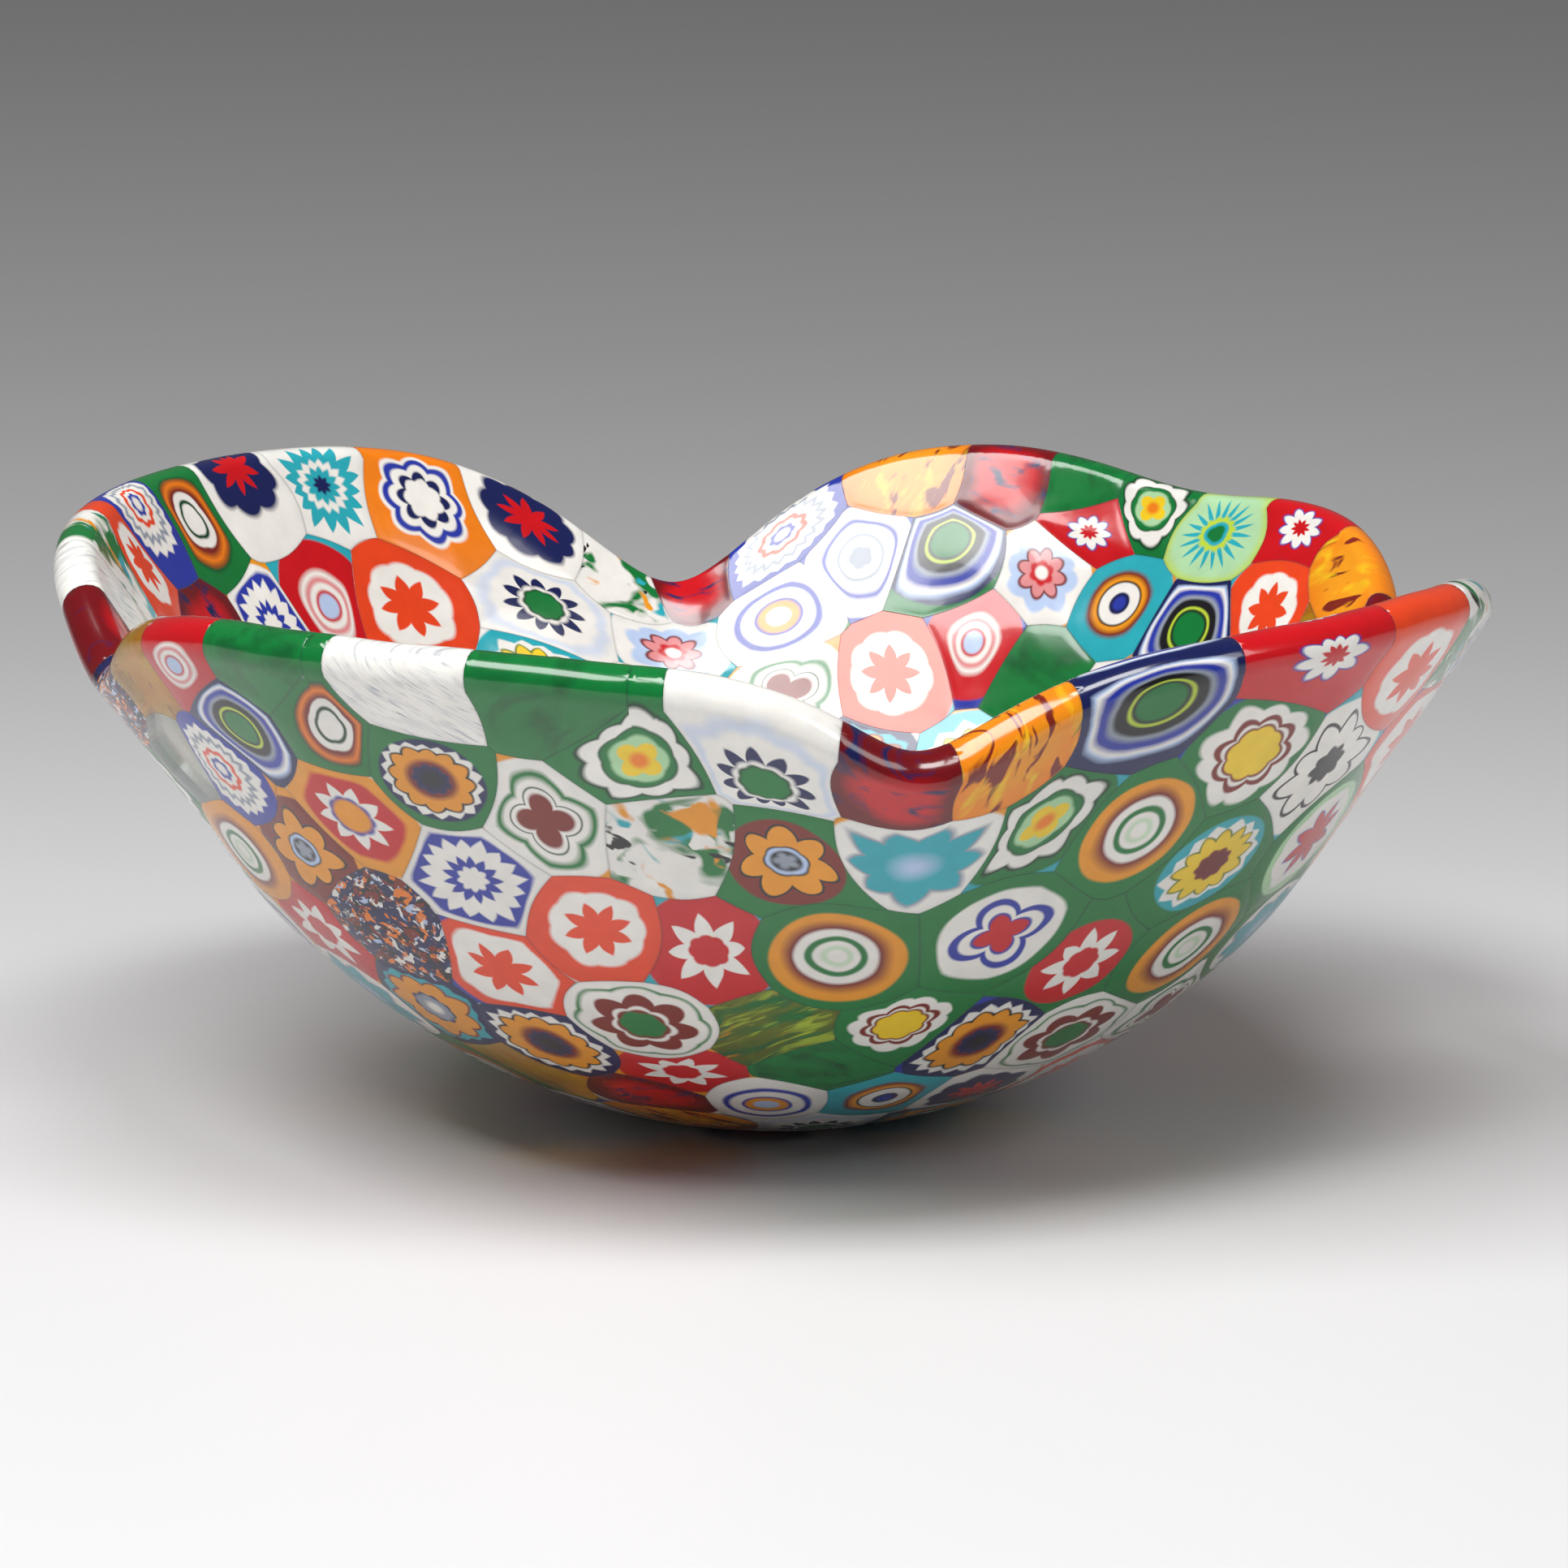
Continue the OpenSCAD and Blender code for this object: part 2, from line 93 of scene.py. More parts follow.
# Rings of slices from the middle of the bottom to the lip. Each ring gives its distance along the
# wall in percent, then its slices: the cane, its turn in degrees and any nudge outward in percent.
rings = [
    (0, [("orange_target", 0)]),
    (12, [
        ("red_star", 20), ("blue_zigzag", 80), ("yellow_petal", 140, 1), ("brown_daisy", 202),
        ("navy_star", 262, 1), ("turquoise_flower", 318),
    ]),
    (24, [
        ("lace_wheel", 8), ("gold_star", 38, 1), ("green_flower", 70), ("clear_glass", 100, -1),
        ("red_flower", 128, 1), ("orange_wave", 158), ("blue_cross", 189), ("grey_ring", 220, -1),
        ("orange_bar", 247, 1), ("toothed_white", 279), ("blue_daisy", 309, 1), ("yellow_daisy", 340),
    ]),
    (35, [
        ("brown_cross", 2), ("pink_flower", 24, 1), ("sunflower", 45), ("turquoise_star", 68, -1),
        ("black_petal", 87, 1), ("orange_target", 109), ("brown_daisy", 131), ("green_ray", 151),
        ("red_cross", 172), ("yellow_wave", 193, 1), ("green_target", 212, -1), ("amber", 229, 3),
        ("dark_red", 249, -1), ("white_eye", 268), ("blue_eye", 287), ("navy_star", 306, -1),
        ("disc_star", 325), ("marble", 344, 1),
    ]),
    (46, [
        ("yellow_petal", 8), ("red_oval", 25, 1), ("blue_zigzag", 42), ("olive_swirl", 59, 1),
        ("orange_star", 77), ("dark_red", 95, -1), ("lace_wheel", 113), ("clear_glass", 131),
        ("gold_star", 149, 1), ("blue_cabochon", 167), ("orange_bar", 185), ("turquoise_flower", 205, 2),
        ("blue_daisy", 223, 3), ("sunflower", 239), ("red_star", 256, -4), ("green_bar", 276, -1),
        ("sunflower", 295, 1), ("brown_daisy", 310, -1), ("brown_cross", 332), ("grey_ring", 350),
    ]),
    (57, [
        ("navy_star", 0), ("green_flower", 16, 1), ("orange_target", 32), ("brown_daisy", 48, 1),
        ("yellow_daisy", 64), ("blue_daisy", 80, -1), ("red_flower", 96), ("green_target", 112, 1),
        ("blue_cross", 128), ("toothed_white", 144), ("red_star", 160, 1), ("pink_flower", 176),
        ("grey_ring", 193), ("red_star", 210, 1), ("speckle", 226, 5), ("disc_star", 239, 1),
        ("brown_daisy", 254, -5), ("olive_swirl", 270, -6), ("yellow_wave", 284, -6), ("red_star", 303, 2),
        ("orange_target", 319, 1), ("turquoise_flower", 340, -2),
    ]),
    (68, [
        ("yellow_wave", 8), ("sunflower", 22, 1), ("red_star", 36), ("grey_ring", 48, -1),
        ("green_bar", 59, 2), ("red_oval", 68, 5), ("orange_star", 76, 1), ("brown_cross", 89),
        ("orange_target", 103), ("yellow_daisy", 117, 1), ("sunflower", 132, -1), ("olive_swirl", 147, 1),
        ("brown_cross", 160, 1), ("disc_star", 175), ("turquoise_star", 190, 1), ("orange_target", 205, 3),
        ("yellow_petal", 219, 4), ("blue_zigzag", 241, 3), ("orange_star", 252, -3), ("red_star", 262, -5),
        ("orange_target", 276, -4), ("blue_cross", 292, -2), ("yellow_daisy", 315, 2), ("red_cross", 334, 1),
        ("gold_star", 352, 1),
    ]),
    (80, [
        ("red_flower", 5), ("turquoise_flower", 14, -2), ("amber", 23, 4), ("orange_star", 32, 5),
        ("blue_cabochon", 42, -1), ("blue_eye", 52, 1), ("red_flower", 58, 11), ("pink_flower", 61, 3),
        ("blue_cabochon", 73, 3), ("grey_ring", 82, 5), ("white_eye", 89, 1), ("pink_flower", 101, -1),
        ("toothed_white", 115, -1), ("orange_star", 132, -2), ("red_oval", 142, 1), ("blue_zigzag", 151, -1),
        ("dark_red", 163, 1), ("brown_daisy", 173, -1), ("yellow_petal", 184), ("green_flower", 195, 1),
        ("clear_glass", 205, 3), ("lace_wheel", 213, 1), ("blue_cabochon", 221, 9), ("gold_star", 230, -1),
        ("green_target", 231, 10), ("sunflower", 240, 6), ("brown_cross", 251, 1), ("marble", 260),
        ("green_flower", 258, 9), ("yellow_petal", 271, -2), ("turquoise_flower", 283, 4),
        ("green_flower", 293, 2), ("orange_target", 303, -2), ("yellow_wave", 312, 6),
        ("black_petal", 325, 1), ("disc_star", 344, 1),
    ]),
    (94, [
        ("toothed_white", 6), ("dark_red", 15), ("orange_bar", 24, -1), ("red_flower", 34, 2),
        ("green_ray", 43), ("green_flower", 52, 2), ("green_bar", 60, 2), ("dark_red", 68, 2),
        ("orange_bar", 77, 3), ("lace_wheel", 90), ("dark_red", 98), ("marble", 106, -2), ("navy_star", 114),
        ("orange_wave", 125, -2), ("turquoise_star", 136, 1), ("navy_star", 145), ("green_target", 155, -2),
        ("lace_wheel", 163, -1), ("orange_star", 169, -3), ("marble", 175), ("ribbed_white", 182),
        ("dark_red", 190, 1), ("speckle", 199, 1), ("amber", 208, 2), ("red_oval", 217, 3),
        ("green_bar", 226, 3), ("ribbed_white", 241, 2), ("green_bar", 252, 3), ("toothed_white", 269),
        ("dark_red", 281, 1), ("orange_bar", 287, 1), ("blue_cabochon", 299, 1), ("red_flower", 315, 3),
        ("orange_star", 332), ("marble", 343, 2), ("blue_zigzag", 354),
    ]),
]

# Glass colours, named as the colour rods are.
rod = {
    "white": "#e9e7e1", "red": "#c40d18", "darkRed": "#6d0a12", "orangeRed": "#e2431a", "orange": "#ea7d10",
    "amber": "#e5951a", "yellow": "#ecc81f", "brown": "#7a2216", "green": "#0b7434", "darkGreen": "#083f20",
    "paleGreen": "#a9d3a4", "lime": "#b7cf3c", "turquoise": "#27a5b3", "paleBlue": "#b4c8e8",
    "blue": "#26369f", "navy": "#141d52", "black": "#17161a", "grey": "#8f98a6", "pink": "#d98b8d",
    "olive": "#6d7a1c", "clear": "#e6f2ec",
}

# Each cane: its jacket, then its layers inwards as colour, radius, lobes, notch, roundness and blur, or
# just colour, radius and blur for a plain round one. A streak is colour, size, stretch, share and blur.
# Radii are shares of the slice's own. "clear" is how much light a see-through cane lets through.
canes = {
    "red_star": {"jacket": "red", "layers": [
        ("white", 0.74, 8, 0.34, 0.0, 0.02), ("red", 0.33, 8, 0.03, 1.0, 0.02)]},
    "orange_star": {"jacket": "orangeRed", "layers": [
        ("white", 0.70, 9, 0.04, 1.0, 0.03), ("orangeRed", 0.50, 8, 0.22, 0.0, 0.02)]},
    "disc_star": {"jacket": "orangeRed", "layers": [
        ("white", 0.84, 8, 0.03, 1.0, 0.03), ("orangeRed", 0.56, 8, 0.26, 0.0, 0.02)]},
    "orange_target": {"jacket": "amber", "layers": [
        ("brown", 0.70, 0.09), ("white", 0.57, 0.03), ("green", 0.42, 0.02), ("white", 0.32, 0.02),
        ("paleGreen", 0.20, 0.05), ("white", 0.15, 0.04)]},
    "green_target": {"jacket": "green", "layers": [
        ("black", 0.74, 0.05), ("orange", 0.68, 0.06), ("brown", 0.56, 0.06),
        ("white", 0.47, 3, 0.05, 1.0, 0.02), ("darkGreen", 0.33, 3, 0.04, 1.0, 0.02),
        ("white", 0.26, 3, 0.03, 1.0, 0.02)]},
    "yellow_petal": {"jacket": "brown", "layers": [
        ("black", 0.85, 7, 0.26, 1.0, 0.015), ("amber", 0.80, 7, 0.28, 1.0, 0.02),
        ("black", 0.36, 6, 0.03, 1.0, 0.02), ("paleBlue", 0.32, 6, 0.02, 1.0, 0.02), ("black", 0.24, 0.03),
        ("grey", 0.20, 5, 0.07, 0.5, 0.05)]},
    "sunflower": {"jacket": "navy", "layers": [
        ("white", 0.90, 18, 0.11, 0.0, 0.02), ("black", 0.78, 12, 0.10, 0.6, 0.02),
        ("amber", 0.74, 12, 0.13, 0.8, 0.02), ("brown", 0.43, 0.06), ("navy", 0.34, 9, 0.05, 0.5, 0.03),
        ("black", 0.2, 0.08)]},
    "brown_cross": {"jacket": "white", "layers": [
        ("green", 0.86, 4, 0.20, 1.0, 0.04), ("white", 0.74, 4, 0.20, 1.0, 0.05),
        ("darkGreen", 0.60, 4, 0.22, 1.0, 0.015), ("white", 0.57, 4, 0.22, 1.0, 0.015),
        ("brown", 0.48, 4, 0.22, 1.0, 0.03)]},
    "brown_daisy": {"jacket": "white", "layers": [
        ("green", 0.90, 7, 0.06, 1.0, 0.02), ("white", 0.86, 7, 0.08, 1.0, 0.03),
        ("brown", 0.72, 7, 0.20, 1.0, 0.02), ("white", 0.44, 7, 0.07, 1.0, 0.02),
        ("brown", 0.36, 7, 0.03, 1.0, 0.02), ("green", 0.31, 6, 0.03, 1.0, 0.02)]},
    "yellow_wave": {"jacket": "green", "layers": [
        ("white", 0.90, 9, 0.12, 1.0, 0.03), ("brown", 0.68, 8, 0.13, 1.0, 0.02),
        ("white", 0.57, 8, 0.10, 1.0, 0.02), ("brown", 0.50, 8, 0.06, 1.0, 0.02),
        ("yellow", 0.45, 8, 0.05, 1.0, 0.02)]},
    "blue_zigzag": {"jacket": "white", "layers": [
        ("blue", 0.89, 5, 0.03, 1.0, 0.03), ("white", 0.80, 17, 0.17, 0.0, 0.025),
        ("blue", 0.46, 13, 0.15, 0.0, 0.025), ("white", 0.25, 9, 0.06, 0.4, 0.02)]},
    "blue_cross": {"jacket": "green", "layers": [
        ("white", 0.88, 0.03), ("blue", 0.72, 4, 0.28, 1.0, 0.02), ("white", 0.58, 4, 0.26, 1.0, 0.02),
        ("blue", 0.42, 4, 0.19, 1.0, 0.02), ("red", 0.38, 4, 0.18, 0.6, 0.02)]},
    "yellow_daisy": {"jacket": "turquoise", "layers": [
        ("white", 0.86, 13, 0.12, 0.0, 0.02), ("olive", 0.74, 12, 0.16, 0.5, 0.02),
        ("yellow", 0.70, 12, 0.20, 0.6, 0.02), ("brown", 0.33, 9, 0.06, 0.5, 0.02),
        ("darkRed", 0.27, 0.05)]},
    "black_petal": {"jacket": "white", "layers": [
        ("black", 0.88, 9, 0.22, 1.0, 0.015), ("white", 0.82, 9, 0.26, 1.0, 0.02),
        ("black", 0.33, 8, 0.08, 0.4, 0.02)]},
    "red_cross": {"jacket": "paleGreen", "layers": [
        ("white", 0.80, 8, 0.05, 1.0, 0.03), ("blue", 0.60, 8, 0.28, 0.2, 0.04),
        ("red", 0.56, 8, 0.28, 0.1, 0.03)]},
    "gold_star": {"jacket": "amber", "layers": [
        ("red", 0.80, 0.04), ("white", 0.63, 9, 0.25, 0.0, 0.02), ("blue", 0.37, 9, 0.03, 1.0, 0.03),
        ("amber", 0.30, 0.04)]},
    "lace_wheel": {"jacket": "blue", "layers": [
        ("white", 0.86, 19, 0.08, 0.0, 0.02), ("grey", 0.72, 19, 0.12, 0.0, 0.03),
        ("white", 0.60, 19, 0.10, 0.0, 0.03), ("orangeRed", 0.42, 9, 0.06, 0.4, 0.02),
        ("white", 0.32, 9, 0.05, 0.4, 0.02), ("blue", 0.22, 7, 0.04, 0.4, 0.02), ("white", 0.12, 0.03)]},
    "speckle": {"jacket": "navy", "streaks": [
        ("orange", 4.6, 1.0, 0.44, 0.02), ("white", 5.6, 1.0, 0.40, 0.02), ("black", 5.0, 1.0, 0.44, 0.02),
        ("paleBlue", 6.4, 1.0, 0.36, 0.02), ("brown", 5.2, 1.0, 0.40, 0.02)]},
    "olive_swirl": {"jacket": "olive", "clear": 0.45, "streaks": [
        ("green", 0.8, 4.5, 0.46, 0.08), ("lime", 1.1, 5.5, 0.40, 0.07), ("amber", 0.9, 7.0, 0.33, 0.05)]},
    "turquoise_flower": {"jacket": "white", "layers": [
        ("grey", 0.90, 9, 0.22, 0.3, 0.05), ("turquoise", 0.84, 9, 0.24, 0.3, 0.03),
        ("paleBlue", 0.22, 0.16)]},
    "green_flower": {"jacket": "green", "layers": [
        ("darkGreen", 0.90, 9, 0.10, 1.0, 0.02), ("white", 0.84, 9, 0.12, 1.0, 0.03),
        ("darkGreen", 0.58, 6, 0.04, 1.0, 0.02), ("green", 0.55, 6, 0.04, 1.0, 0.03),
        ("paleGreen", 0.44, 5, 0.04, 1.0, 0.03), ("yellow", 0.36, 4, 0.14, 0.8, 0.02),
        ("orange", 0.14, 0.05)]},
    "orange_bar": {"jacket": "orange", "layers": [("amber", 0.80, 0.3)],
                   "streaks": [("brown", 0.9, 4.5, 0.42, 0.03), ("yellow", 1.2, 3.0, 0.34, 0.12)]},
    "blue_cabochon": {"jacket": "navy", "layers": [
        ("paleBlue", 0.90, 0.03), ("white", 0.86, 0.02), ("blue", 0.80, 0.04), ("grey", 0.66, 0.04),
        ("black", 0.58, 0.03), ("lime", 0.42, 0.02), ("black", 0.37, 0.02), ("green", 0.32, 0.03)]},
    "red_flower": {"jacket": "red", "layers": [
        ("blue", 0.56, 9, 0.16, 1.0, 0.03), ("white", 0.53, 9, 0.19, 0.7, 0.03),
        ("red", 0.24, 9, 0.10, 0.0, 0.02)]},
    "ribbed_white": {"jacket": "white", "streaks": [
        ("grey", 2.4, 9.0, 0.42, 0.14), ("white", 4.0, 3.0, 0.5, 0.2)]},
    "green_bar": {"jacket": "green", "streaks": [("darkGreen", 1.1, 1.6, 0.36, 0.2)]},
    "toothed_white": {"jacket": "white", "layers": [
        ("paleBlue", 0.88, 14, 0.04, 1.0, 0.08), ("white", 0.80, 14, 0.04, 1.0, 0.08),
        ("navy", 0.60, 11, 0.26, 0.7, 0.02), ("white", 0.37, 11, 0.03, 1.0, 0.03),
        ("darkGreen", 0.31, 9, 0.03, 0.3, 0.02), ("green", 0.27, 9, 0.02, 0.3, 0.02)]},
    "dark_red": {"jacket": "darkRed", "layers": [("red", 0.72, 3, 0.12, 1.0, 0.16)],
                 "streaks": [("navy", 1.6, 2.4, 0.38, 0.08)]},
    "red_oval": {"jacket": "red", "layers": [
        ("white", 0.60, 0.05), ("pink", 0.50, 0.04), ("white", 0.40, 0.03), ("red", 0.28, 0.03),
        ("paleBlue", 0.22, 0.03)]},
    "green_ray": {"jacket": "lime", "layers": [
        ("paleGreen", 0.92, 0.1), ("turquoise", 0.72, 19, 0.52, 0.0, 0.03),
        ("lime", 0.36, 12, 0.06, 0.0, 0.03), ("turquoise", 0.24, 3, 0.03, 1.0, 0.02),
        ("green", 0.17, 3, 0.03, 1.0, 0.02)]},
    "blue_eye": {"jacket": "turquoise", "layers": [
        ("brown", 0.66, 0.05), ("amber", 0.56, 0.05), ("black", 0.46, 0.02), ("white", 0.42, 0.02),
        ("navy", 0.22, 0.02), ("blue", 0.14, 0.02)]},
    "pink_flower": {"jacket": "white", "layers": [
        ("paleBlue", 0.82, 8, 0.14, 1.0, 0.04), ("darkRed", 0.58, 8, 0.16, 1.0, 0.03),
        ("pink", 0.52, 8, 0.18, 1.0, 0.03), ("red", 0.28, 6, 0.06, 0.5, 0.03), ("white", 0.14, 0.03)]},
    "navy_star": {"jacket": "white", "layers": [
        ("navy", 0.80, 9, 0.10, 1.0, 0.04), ("red", 0.48, 9, 0.26, 0.0, 0.02)]},
    "orange_wave": {"jacket": "orange", "layers": [
        ("white", 0.72, 8, 0.09, 1.0, 0.02), ("blue", 0.66, 8, 0.10, 1.0, 0.02),
        ("white", 0.56, 8, 0.10, 1.0, 0.02), ("navy", 0.44, 8, 0.12, 1.0, 0.02),
        ("white", 0.33, 7, 0.06, 0.5, 0.02)]},
    "turquoise_star": {"jacket": "white", "layers": [
        ("turquoise", 0.84, 16, 0.24, 0.0, 0.02), ("white", 0.50, 16, 0.10, 0.0, 0.03),
        ("turquoise", 0.36, 12, 0.10, 0.0, 0.03), ("navy", 0.18, 8, 0.06, 0.0, 0.03)]},
    "grey_ring": {"jacket": "white", "layers": [
        ("blue", 0.80, 4, 0.03, 1.0, 0.04), ("white", 0.70, 4, 0.03, 1.0, 0.04), ("grey", 0.50, 0.05),
        ("white", 0.40, 0.03), ("grey", 0.26, 5, 0.04, 1.0, 0.05)]},
    "blue_daisy": {"jacket": "navy", "layers": [
        ("turquoise", 0.90, 16, 0.07, 0.0, 0.02), ("brown", 0.82, 9, 0.16, 1.0, 0.02),
        ("amber", 0.77, 9, 0.18, 1.0, 0.02), ("navy", 0.38, 9, 0.05, 0.5, 0.02),
        ("grey", 0.32, 6, 0.03, 0.5, 0.04), ("white", 0.14, 0.05)]},
    "white_eye": {"jacket": "white", "layers": [
        ("blue", 0.72, 0.03), ("white", 0.60, 0.03), ("blue", 0.40, 0.02), ("amber", 0.34, 0.03),
        ("paleBlue", 0.20, 0.03)]},
    "marble": {"jacket": "white", "streaks": [
        ("green", 0.9, 1.4, 0.48, 0.04), ("turquoise", 1.1, 1.8, 0.38, 0.03),
        ("white", 1.5, 1.8, 0.42, 0.03), ("amber", 1.3, 1.6, 0.36, 0.03), ("black", 1.4, 2.4, 0.34, 0.02)]},
    "amber": {"jacket": "amber", "clear": 0.6, "streaks": [
        ("yellow", 1.5, 2.0, 0.45, 0.3), ("brown", 2.0, 4.0, 0.34, 0.06)]},
    "clear_glass": {"jacket": "clear", "clear": 0.92},
}
caneNames = list(canes)

# The glass that fills the gaps between canes, by where it lies: colour, turns and shares of the wall.
fillers = [
    ("green", 262, 340, 0.50, 0.81),
    ("green", 234, 252, 0.82, 0.88),
    ("green", 338, 375, 0.40, 0.62),
    ("green", 120, 190, 0.48, 0.74),
]
lipRow = 0.875  # share of the wall where the lip's own row begins
looseGlass = ["green", "turquoise", "white", "blue", "amber"]


# Light of a glass colour. The hex value is undone from its screen curve.
def glassColour(name):
    value = np.array([int(rod[name][k:k + 2], 16) / 255 for k in (1, 3, 5)])
    linear = np.where(value <= 0.04045, value / 12.92, ((value + 0.055) / 1.055) ** 2.4)
    return (*linear.tolist(), 1.0)


# What fills the corners of a slice, and whether that region is packed with it. Slices in the lip's row
# and slices without a round pattern keep their own jacket glass there.
def fillerOf(i):
    part, turn = sitePlaces[i, 0] / 100, sitePlaces[i, 1]
    cane = canes[sliceNames[i]]
    if part > lipRow or "layers" not in cane:
        return (*glassColour(cane["jacket"])[:3], 0.0)
    for colour, first, last, low, high in fillers:
        if low < part < high and (first < turn < last or first < turn + 360 < last):
            return (*glassColour(colour)[:3], 1.0)
    return (*glassColour(looseGlass[int(sliceChance[i, 5] * len(looseGlass))])[:3], 0.0)


# Words joined with an underscore as one camel-case word.
def camel(name):
    first, *others = name.split("_")
    return first + "".join(word.capitalize() for word in others)


# Distance along the wall to radius on the flat layout disc: twice the bottom radius times the tangent
# of half the bend on the rounded bottom, and a power of the straight run above it.
def discRadius(along):
    along = np.asarray(along, float)
    bottom = 2 * bottomRadius * np.tan(np.minimum(along, arcLength) / bottomRadius / 2)
    run = np.maximum(along - arcLength, 0) * math.cos(slope) / arcEndRadius
    return bottom * (1 + run) ** (1 / math.cos(slope))


# The same the other way round: radius on the layout disc to distance along the wall.
def alongWall(radius):
    bottom = 2 * bottomRadius * np.arctan(np.minimum(radius, arcEndDisc) / (2 * bottomRadius))
    ratio = np.maximum(radius / arcEndDisc, 1)
    return bottom + arcEndRadius * (ratio ** math.cos(slope) - 1) / math.cos(slope)


# Middle of the wall at points of the layout disc: an arc then a straight slope turned about Z, less each
# fold's pinch and drop. A fold acts as one over the hyperbolic cosine of the turn from it over its reach.
def wallMiddle(p):
    along = alongWall(np.hypot(p[..., 0], p[..., 1]))
    turn = np.arctan2(p[..., 1], p[..., 0])
    bend = np.minimum(along / bottomRadius, slope)
    straight = np.maximum(along - arcLength, 0)
    growth = np.maximum((along / bowl["wallLength"] - bowl["foldStart"]) / (1 - bowl["foldStart"]), 0) ** 2
    pinch = 0
    drop = 0
    for foldTurn, foldDrop, foldPinch, reach in bowl["folds"]:
        gap = (np.degrees(turn) - foldTurn + 540) % 360 - 180
        share = growth / np.cosh(gap / reach)
        pinch = pinch + foldPinch * share
        drop = drop + foldDrop * share
    radius = bottomRadius * np.sin(bend) + straight * math.cos(slope) - pinch
    height = middleHeight + bottomRadius * (1 - np.cos(bend)) + straight * math.sin(slope) - drop
    return np.stack([radius * np.cos(turn), radius * np.sin(turn) * bowl["depthShare"], height], -1)


# Direction straight through the wall, into the bowl: across two short steps along the wall.
def wallNormal(p):
    e = 0.02
    along, across = (wallMiddle(p + step) - wallMiddle(p - step) for step in ([e, 0], [0, e]))
    n = np.cross(along, across)
    return n / np.linalg.norm(n, axis=-1, keepdims=True)


# Half the thickness: even up to the lip, then a half circle closed at the end of the wall.
def halfThickness(p):
    over = np.clip((alongWall(np.hypot(p[..., 0], p[..., 1])) - lipStart) / halfGlass, 0, 1)
    half = halfGlass * np.sqrt(1 - over ** 2)
    return np.where(over > 0.9999, 0, half)


# Slow swell of hand-made glass: four crossing waves over the layout disc, between minus one and one.
def swell(p):
    x, y = p[..., 0], p[..., 1]
    waves = np.sin(0.21 * x + 0.09 * y + 0.4) + np.sin(0.13 * x - 0.24 * y + 1.9)
    return (waves + np.sin(-0.31 * x + 0.17 * y + 3.1) + np.sin(0.11 * x + 0.37 * y + 5.2)) / 4


# Where every slice stands: distance along the wall in percent with its turn, and its site on the disc.
sliceNames = [cane for part, ring in rings for cane, *place in ring]
sitePlaces = np.array([(part + sum(nudge), turn) for part, ring in rings
                       for cane, turn, *nudge in ring], float)
siteRadius = discRadius(sitePlaces[:, 0] / 100 * bowl["wallLength"])
siteTurn = np.radians(sitePlaces[:, 1])
sites = np.stack([siteRadius * np.cos(siteTurn), siteRadius * np.sin(siteTurn)], -1)
firmness = np.array([caneNames.index(name) * 0.618 % 1 for name in sliceNames])  # spread evenly by cane
lipDisc = float(discRadius(lipStart))
edgeDisc = float(discRadius(bowl["wallLength"]))
nearLip = siteRadius > lipDisc * 0.6
mirrored = sites[nearLip] * (lipDisc / siteRadius[nearLip, None]) ** 2  # outside the lip, to end slices there
allSites = np.concatenate([sites, mirrored])
sliceChance = np.random.default_rng(11).random((len(sites), 8))
print("slices laid out:", len(sites))

# Slices whose pattern was dragged off their middle while hot: towards the lip, and round the rim, as
# shares of the slice's radius.
dragged = {
    ("toothed_white", 269): (-0.50, 0.05), ("blue_cabochon", 299): (0.30, 0.0),
    ("red_flower", 315): (0.28, 0.05), ("blue_cabochon", 73): (0.40, 0.0),
    ("orange_star", 332): (-0.10, 0.1), ("navy_star", 145): (0.55, 0.0), ("green_bar", 226): (0.3, 0.0),
    ("lace_wheel", 163): (0.45, 0.0), ("green_target", 231): (0.0, 0.1),
    ("toothed_white", 115): (0.05, 0.0), ("red_oval", 142): (-0.2, 0.0), ("orange_bar", 287): (0.2, 0.0),
}


def lengths(vectors):
    return np.linalg.norm(vectors, axis=-1)


# Corners of a slice: points as far from its site as from two others, with no site nearer. Corners that
# fall together count once. Returns them anticlockwise, with the site across the edge that starts at each.
def sliceCorners(i):
    towards = allSites - sites[i]
    distance = lengths(towards)
    near = np.flatnonzero((distance > 1e-9) & (distance < lipDisc / 2))
    d = towards[near]
    limit = (d ** 2).sum(1) / 2
    a, b = np.triu_indices(len(near), 1)
    turnOver = d[a, 0] * d[b, 1] - d[a, 1] * d[b, 0]
    crossing = abs(turnOver) > 1e-9
    a, b, turnOver = a[crossing], b[crossing], turnOver[crossing]
    x = (limit[a] * d[b, 1] - limit[b] * d[a, 1]) / turnOver
    y = (d[a, 0] * limit[b] - d[b, 0] * limit[a]) / turnOver
    keep = (x[:, None] * d[:, 0] + y[:, None] * d[:, 1] <= limit + 1e-7).all(1)
    corners = np.stack([x, y], -1)[keep]
    corners = corners[np.argsort(np.arctan2(corners[:, 1], corners[:, 0]))]
    corners = corners[lengths(corners - np.roll(corners, -1, 0)) > surface["sameCorner"]]
    gaps = abs(corners @ d.T - limit)
    across = near[np.argmin(gaps + np.roll(gaps, -1, 0), 1)]
    return sites[i] + corners, across


